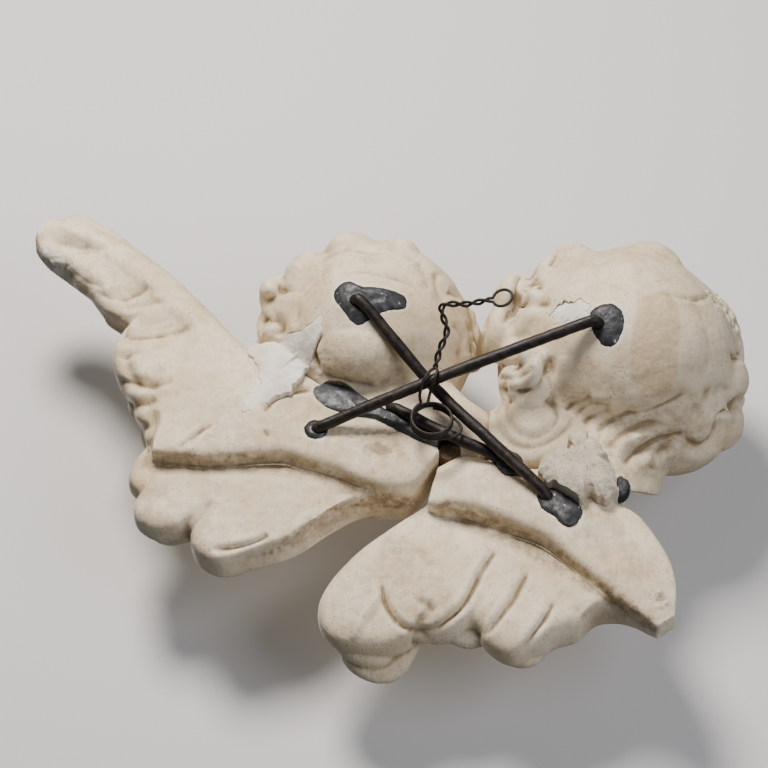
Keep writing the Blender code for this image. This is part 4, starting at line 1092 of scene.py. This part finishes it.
def mortar_material():
    """Lime mortar: pale grey-beige paste with sand, pits and a few dark grains."""
    material, tree, shader = start_material("lime_mortar", 0.95)
    base = mixed(tree, ramp(tree, noise_node(tree, 9, 6, 0.65), 0.35, 0.65), colour("#D3CAB9"),
                 colour("#B7AC99"))
    base = mixed(tree, ramp(tree, noise_node(tree, 1.3, 3, 0.6), 0.62, 0.68), base, colour("#6A6053"))
    tree.links.new(base, shader.inputs["Base Color"])
    bumped(tree, shader, noise_node(tree, 1.8, 6, 0.7), 0.7)
    return material


def wood_material():
    """A dowel of softwood gone brown and dirty, its grain running along the peg."""
    material, tree, shader = start_material("old_dowel_wood", 0.8)
    where = add(tree, "TexCoord").outputs["Object"]
    stretched = add(tree, "Mapping", {"Vector": where, "Scale": (1, 0.12, 1)}).outputs["Vector"]
    grain = noise_node(tree, 0.9, 4, 0.6, stretched)
    base = mixed(tree, ramp(tree, grain, 0.35, 0.65), colour("#3C2C1E"), colour("#6F5639"))
    tree.links.new(base, shader.inputs["Base Color"])
    bumped(tree, shader, grain, 0.4)
    return material


MARBLE = marble_material("aged_marble", 0.0)
TOOLED = marble_material("tooled_marble", 1.2)
IRON = iron_material()
LEAD = lead_material()
PLASTER = plaster_material()
MORTAR = mortar_material()
WOOD = wood_material()


# %% [markdown]
# ## Making the pieces
#
# The four stones come first, each as one fused skin, smoothed and carved.

# %%
SHARP_ANGLE = math.radians(40)


def finish_piece(thing, material):
    """Its finish and soft shading with the sharp edges kept; it hangs under the root body and hides the CAD
    node that it stands for.
    """
    mesh = thing.data
    mesh.materials.clear()
    mesh.materials.append(material)
    mesh.polygons.foreach_set("use_smooth", np.ones(len(mesh.polygons), dtype=bool))
    mesh.set_sharp_from_angle(angle=SHARP_ANGLE)
    node = thing.name.removesuffix("_skin")
    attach(thing, "root")
    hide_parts(node)
    mesh.calc_loop_triangles()
    print(node, len(mesh.loop_triangles), "triangles")


def without_steps(mesh):
    """The points after four rounds of smoothing there and back, which take the voxels' steps away."""
    return smoothed(read_points(mesh), read_edges(mesh), 4, 0.52)


STONES = {
    "left_head": ([face(LEFT_HEAD), *head_shapes(LEFT_HEAD)], 1.1),
    "right_head": ([face(RIGHT_HEAD), *head_shapes(RIGHT_HEAD)], 1.2),
    "left_wings": (left_wing_shapes(), 1.05),
    "right_wing": (right_wing_shapes(), 1.05),
}
stones = {}
for name, (shapes, voxel) in STONES.items():
    stones[name] = fuse(make_object(name + "_skin", shapes), voxel)
    mesh = stones[name].data
    write_points(mesh, without_steps(mesh))
    carve(name, mesh)


# %% [markdown]
# ## Stains and painted shade
#
# Some colour belongs to a place: brown along the ledges and necks, which is stain in places and painted shade
# on the walls under the ledges, a yellowed patch on the right head, and the grey old break at the wing's tip.
# Each is an outline in the picture with a weight, written to the mesh as a number at each vertex, next to the
# numbers that say how hollow the place is.

# %%
STAINS_AND_SHADE = {
    "residue": [([(639, 303), (677, 303), (672, 389), (633, 386)], 1.0)],
    "scar": [(BROKEN_TIP, 1.0)],
    "brown": [
        # The first two brown outlines are painted shade on the walls under the ledges of both wings.
        ([(150, 452), (220, 452), (300, 460), (345, 474), (415, 500), (400, 508), (340, 492), (290, 475),
          (150, 470)], 1.1),
        ([(443, 500), (520, 528), (593, 573), (655, 620), (650, 632), (590, 592), (515, 550), (443, 518)],
         1.1),
        ([(215, 405), (330, 388), (430, 440), (420, 488), (345, 468), (215, 453)], 0.5),
        ([(150, 482), (300, 484), (400, 508), (330, 525), (250, 560), (150, 530)], 0.4),
        ([(445, 480), (500, 468), (600, 505), (672, 600), (648, 618), (560, 555), (440, 502)], 0.45),
        ([(384, 540), (420, 545), (452, 590), (440, 625), (400, 622), (384, 590)], 0.7),
        ([(345, 575), (378, 565), (380, 610), (352, 640), (332, 610)], 0.4),
        ([(598, 432), (690, 405), (700, 440), (640, 482), (612, 470)], 0.8),
        ([(362, 440), (400, 444), (398, 456), (365, 454)], 0.8),
        ([(262, 556), (301, 525), (346, 504), (424, 500), (384, 520), (300, 549)], 0.5),
        ([(560, 385), (640, 330), (690, 330), (680, 400), (600, 425)], 0.35),
        ([(320, 335), (400, 350), (400, 385), (330, 378)], 0.5),
        ([(296, 340), (316, 345), (312, 378), (290, 388)], 0.7),
        ([(440, 545), (560, 560), (640, 600), (600, 620), (500, 590)], 0.2)],
}
SOFT_RIM = {"residue": 1.5, "scar": 4.0, "brown": 4.0}


def write_attribute(mesh, name, values):
    mesh.attributes.new(name, "FLOAT", "POINT").data.foreach_set("value", values)


def mark_places(mesh):
    """Height above two smoothed copies of the surface, along the normal, in millimetres; then the stains and
    painted shade.
    """
    points, edges, normals = read_points(mesh), read_edges(mesh), read_normals(mesh)
    near = smoothed(points, edges, 12)
    wide = smoothed(near, edges, 90)
    write_attribute(mesh, "hollow", ((points - near) * normals).sum(1))
    write_attribute(mesh, "hollow_wide", ((points - wide) * normals).sum(1))
    places, facing = seen(points), step(normals @ TO_CAMERA, 0.02, 0.3) * step(points[:, 2], 55, 75)
    for name, outlines in STAINS_AND_SHADE.items():
        share = sum(weight * within(places, outline, SOFT_RIM[name]) for outline, weight in outlines)
        write_attribute(mesh, name, facing * share)


# %% [markdown]
# ## Beds
#
# What is set into the stones is cut out of them with a hair's clearance, so each metal or plaster piece
# sits in its own bed and nothing overlaps. The tools are the pieces' own shapes, a little larger and open
# at the back, and the heads' shapes make room for the heads in their neighbours.

# %%
ROOM_VOXEL = 1.6
RAGGED = {"lead": 0.12, "plaster": 0.7, "mortar": 0.8}
CLEARANCE = {"lead": 0.25, "plaster": 0.12, "mortar": 0.12}


def tool(name, *shapes):
    """A shape that only cuts."""
    thing = make_object(name, shapes)
    thing.hide_render = True
    return thing


left_room = fuse(tool("left_room", *head_shapes(LEFT_HEAD, JOINT)), ROOM_VOXEL)
right_room = fuse(tool("right_room", *head_shapes(RIGHT_HEAD, JOINT)), ROOM_VOXEL)
pockets = {}
for name, form in FILLINGS.items():
    kind = name.split("_")[0]
    bed = patch(**form, grow=CLEARANCE[kind], headroom=HEADROOM, ragged=RAGGED[kind])
    pockets[name] = tool(name + "_pocket", bed)
channels = {name: tool(name + "_channel", tube(line, ROD_RADIUS + FIT, 16)) for name, line in RODS.items()}
dowel_hole = tool("dowel_hole", dowel_tube(32, FIT, DOWEL_HEADROOM))

cut(stones["left_head"], pockets["lead_left_head"], pockets["lead_seam"], pockets["plaster_left"],
    pockets["lead_middle"], channels["rod_down"], channels["rod_short"], dowel_hole)
cut(stones["right_head"], left_room, pockets["lead_right_head"], pockets["plaster_right_head"],
    pockets["mortar_right"], pockets["lead_middle"], pockets["lead_neck"], channels["rod_cross"],
    channels["rod_short"])
cut(stones["left_wings"], left_room, right_room, pockets["lead_left_wing"], pockets["lead_seam"],
    pockets["plaster_left"], channels["rod_cross"], channels["rod_short"], dowel_hole)
cut(stones["right_wing"], left_room, right_room, pockets["lead_middle"], pockets["lead_right_wing"],
    pockets["lead_neck"], pockets["mortar_right"], channels["rod_down"], channels["rod_short"], dowel_hole)
for name, stone in stones.items():
    mark_places(stone.data)
    finish_piece(stone, MARBLE if name.endswith("head") else TOOLED)


# %% [markdown]
# The fillings are fused finely too, roughened by noise, and cut where a rod passes through them.

# %%
FILLING_FINISH = {"lead": LEAD, "plaster": PLASTER, "mortar": MORTAR}
FILLING_VOXEL = 0.5
LUMPS = {"lead": (0.35, 5.0), "plaster": (0.5, 4.0), "mortar": (0.7, 3.0)}
FILLING_CUTS = {
    "lead_left_head": [channels["rod_down"]],
    "lead_right_head": [channels["rod_cross"]],
    "plaster_right_head": [channels["rod_cross"]],
    "lead_left_wing": [channels["rod_cross"]],
    "lead_seam": [channels["rod_short"], dowel_hole],
    "lead_middle": [channels["rod_short"], channels["rod_down"]],
    "lead_right_wing": [channels["rod_down"]],
    "mortar_right": [channels["rod_down"], pockets["lead_right_wing"], pockets["lead_neck"]],
}
for number, (name, form) in enumerate(FILLINGS.items()):
    kind = name.split("_")[0]
    skin = patch(**form, rings=8, ragged=RAGGED[kind])
    filling = fuse(make_object(name + "_skin", [skin]), FILLING_VOXEL)
    mesh = filling.data
    points = without_steps(mesh)
    write_points(mesh, points)
    size, grain = LUMPS[kind]
    height = noise(points, grain, number) + 0.5 * noise(points, grain / 2.3, number + 50) - 0.75
    write_points(mesh, points + (size * height)[:, None] * read_normals(mesh))
    if name in FILLING_CUTS:
        cut(filling, *FILLING_CUTS[name])
    finish_piece(filling, FILLING_FINISH[kind])


# %% [markdown]
# The rods keep the unevenness of the forge; the wire and the peg are made as they are drawn. Then the
# tools have done their work and go.

# %%
for number, (name, line) in enumerate(RODS.items()):
    rod = make_object(name + "_skin", [tube(even_line(line, 1.0), ROD_RADIUS, 40)])
    mesh = rod.data
    points = read_points(mesh)
    height = noise(points, 6.0, number) + 0.6 * noise(points, 2.2, number + 9) - 0.8
    write_points(mesh, points + (0.35 * height)[:, None] * read_normals(mesh))
    finish_piece(rod, IRON)

wire = make_object("hanging_wire_skin", [tube(wire_line(), WIRE_RADIUS, 14)])
finish_piece(wire, IRON)

dowel = make_object("dowel_skin", [dowel_tube(48)])
bevel = dowel.modifiers.new("rim", "BEVEL")
bevel.width = 0.6 * MM
bevel.segments = 3
finish_piece(bake(dowel), WOOD)

for thing in [left_room, right_room, dowel_hole, *pockets.values(), *channels.values()]:
    bpy.data.objects.remove(thing, do_unlink=True)


# %% [markdown]
# ## Stage, light and camera
#
# The group lies on its faces, so the floor stands upright just in front of them in this frame. It shows
# only from the side that the camera is on, and only to the camera, so the faces can be looked at as well.

# %%
FLOOR_HALF = 6000.0
FLOOR_OUT = -0.5


def stage_material():
    """Pale paint where a camera ray meets the floor's front face, and clear for every other ray."""
    material = bpy.data.materials.new("studio_floor")
    material.use_nodes = True
    tree = material.node_tree
    tree.nodes.clear()
    back = add(tree, "NewGeometry").outputs["Backfacing"]
    by_camera = add(tree, "LightPath").outputs["Is Camera Ray"]
    clear = add(tree, "BsdfTransparent").outputs[0]
    paint = add(tree, "BsdfDiffuse", {"Color": colour("#D9D9DA")}).outputs[0]
    hidden = maths(tree, "MAXIMUM", back, maths(tree, "SUBTRACT", 1.0, by_camera))
    out = add(tree, "MixShader", {0: hidden, 1: paint, 2: clear}).outputs[0]
    end = add(tree, "OutputMaterial")
    tree.links.new(out, end.inputs["Surface"])
    return material


floor_mesh = bpy.data.meshes.new("studio_floor")
corners = place([(right * FLOOR_HALF, up * FLOOR_HALF, FLOOR_OUT)
                 for right, up in ((-1, -1), (1, -1), (1, 1), (-1, 1))])
floor_mesh.from_pydata(corners.tolist(), [], [(0, 1, 2, 3)])
floor_mesh.update()
if floor_mesh.polygons[0].normal.y < 0:
    floor_mesh.flip_normals()
floor_mesh.materials.append(stage_material())
floor = bpy.data.objects.new("studio_floor", floor_mesh)
bpy.context.collection.objects.link(floor)


def aimed(thing, spot, target):
    """An object at spot whose -Z looks at target and whose Y is as near up as it can be."""
    spot, target = Vector(spot), Vector(target)
    back = (spot - target).normalized()
    side = Vector((0, 0, 1)).cross(back).normalized()
    turn = Matrix((side, back.cross(side), back)).transposed().to_4x4()
    thing.matrix_world = Matrix.Translation(spot) @ turn
    bpy.context.collection.objects.link(thing)
    return thing


SENSOR_WIDTH = 36
target = Vector(place(TARGET).tolist())
direction = Vector((0, math.sin(ELEVATION), -math.cos(ELEVATION)))
lens = bpy.data.cameras.new("photo_camera")
lens.sensor_width = SENSOR_WIDTH
lens.lens = SENSOR_WIDTH * DISTANCE * PIXELS_PER_MM / PICTURE
lens.clip_end = 100
camera = aimed(bpy.data.objects.new("photo_camera", lens), target + direction * DISTANCE * MM, target)
bpy.context.scene.camera = camera


def soft_light(name, spot, size, power, tint):
    """A disk of light of that many metres and watts, aimed at the middle of the picture."""
    light = bpy.data.lights.new(name, "AREA")
    light.shape = "DISK"
    light.size = size
    light.energy = power
    light.color = colour(tint)[:3]
    aimed(bpy.data.objects.new(name, light), spot, target)


soft_light("key", (0.34, 0.95, 0.56), 0.45, 25.5, "#FFF6EC")
soft_light("fill", (-1.0, 1.0, -0.6), 1.2, 12, "#FAFAFF")
soft_light("front", (0.5, -1.3, 0.9), 1.2, 12, "#FFFAF4")
world = bpy.data.worlds.new("studio")
world.use_nodes = True
world.node_tree.nodes["Background"].inputs["Color"].default_value = colour("#EEF0F4")
world.node_tree.nodes["Background"].inputs["Strength"].default_value = 0.17
bpy.context.scene.world = world
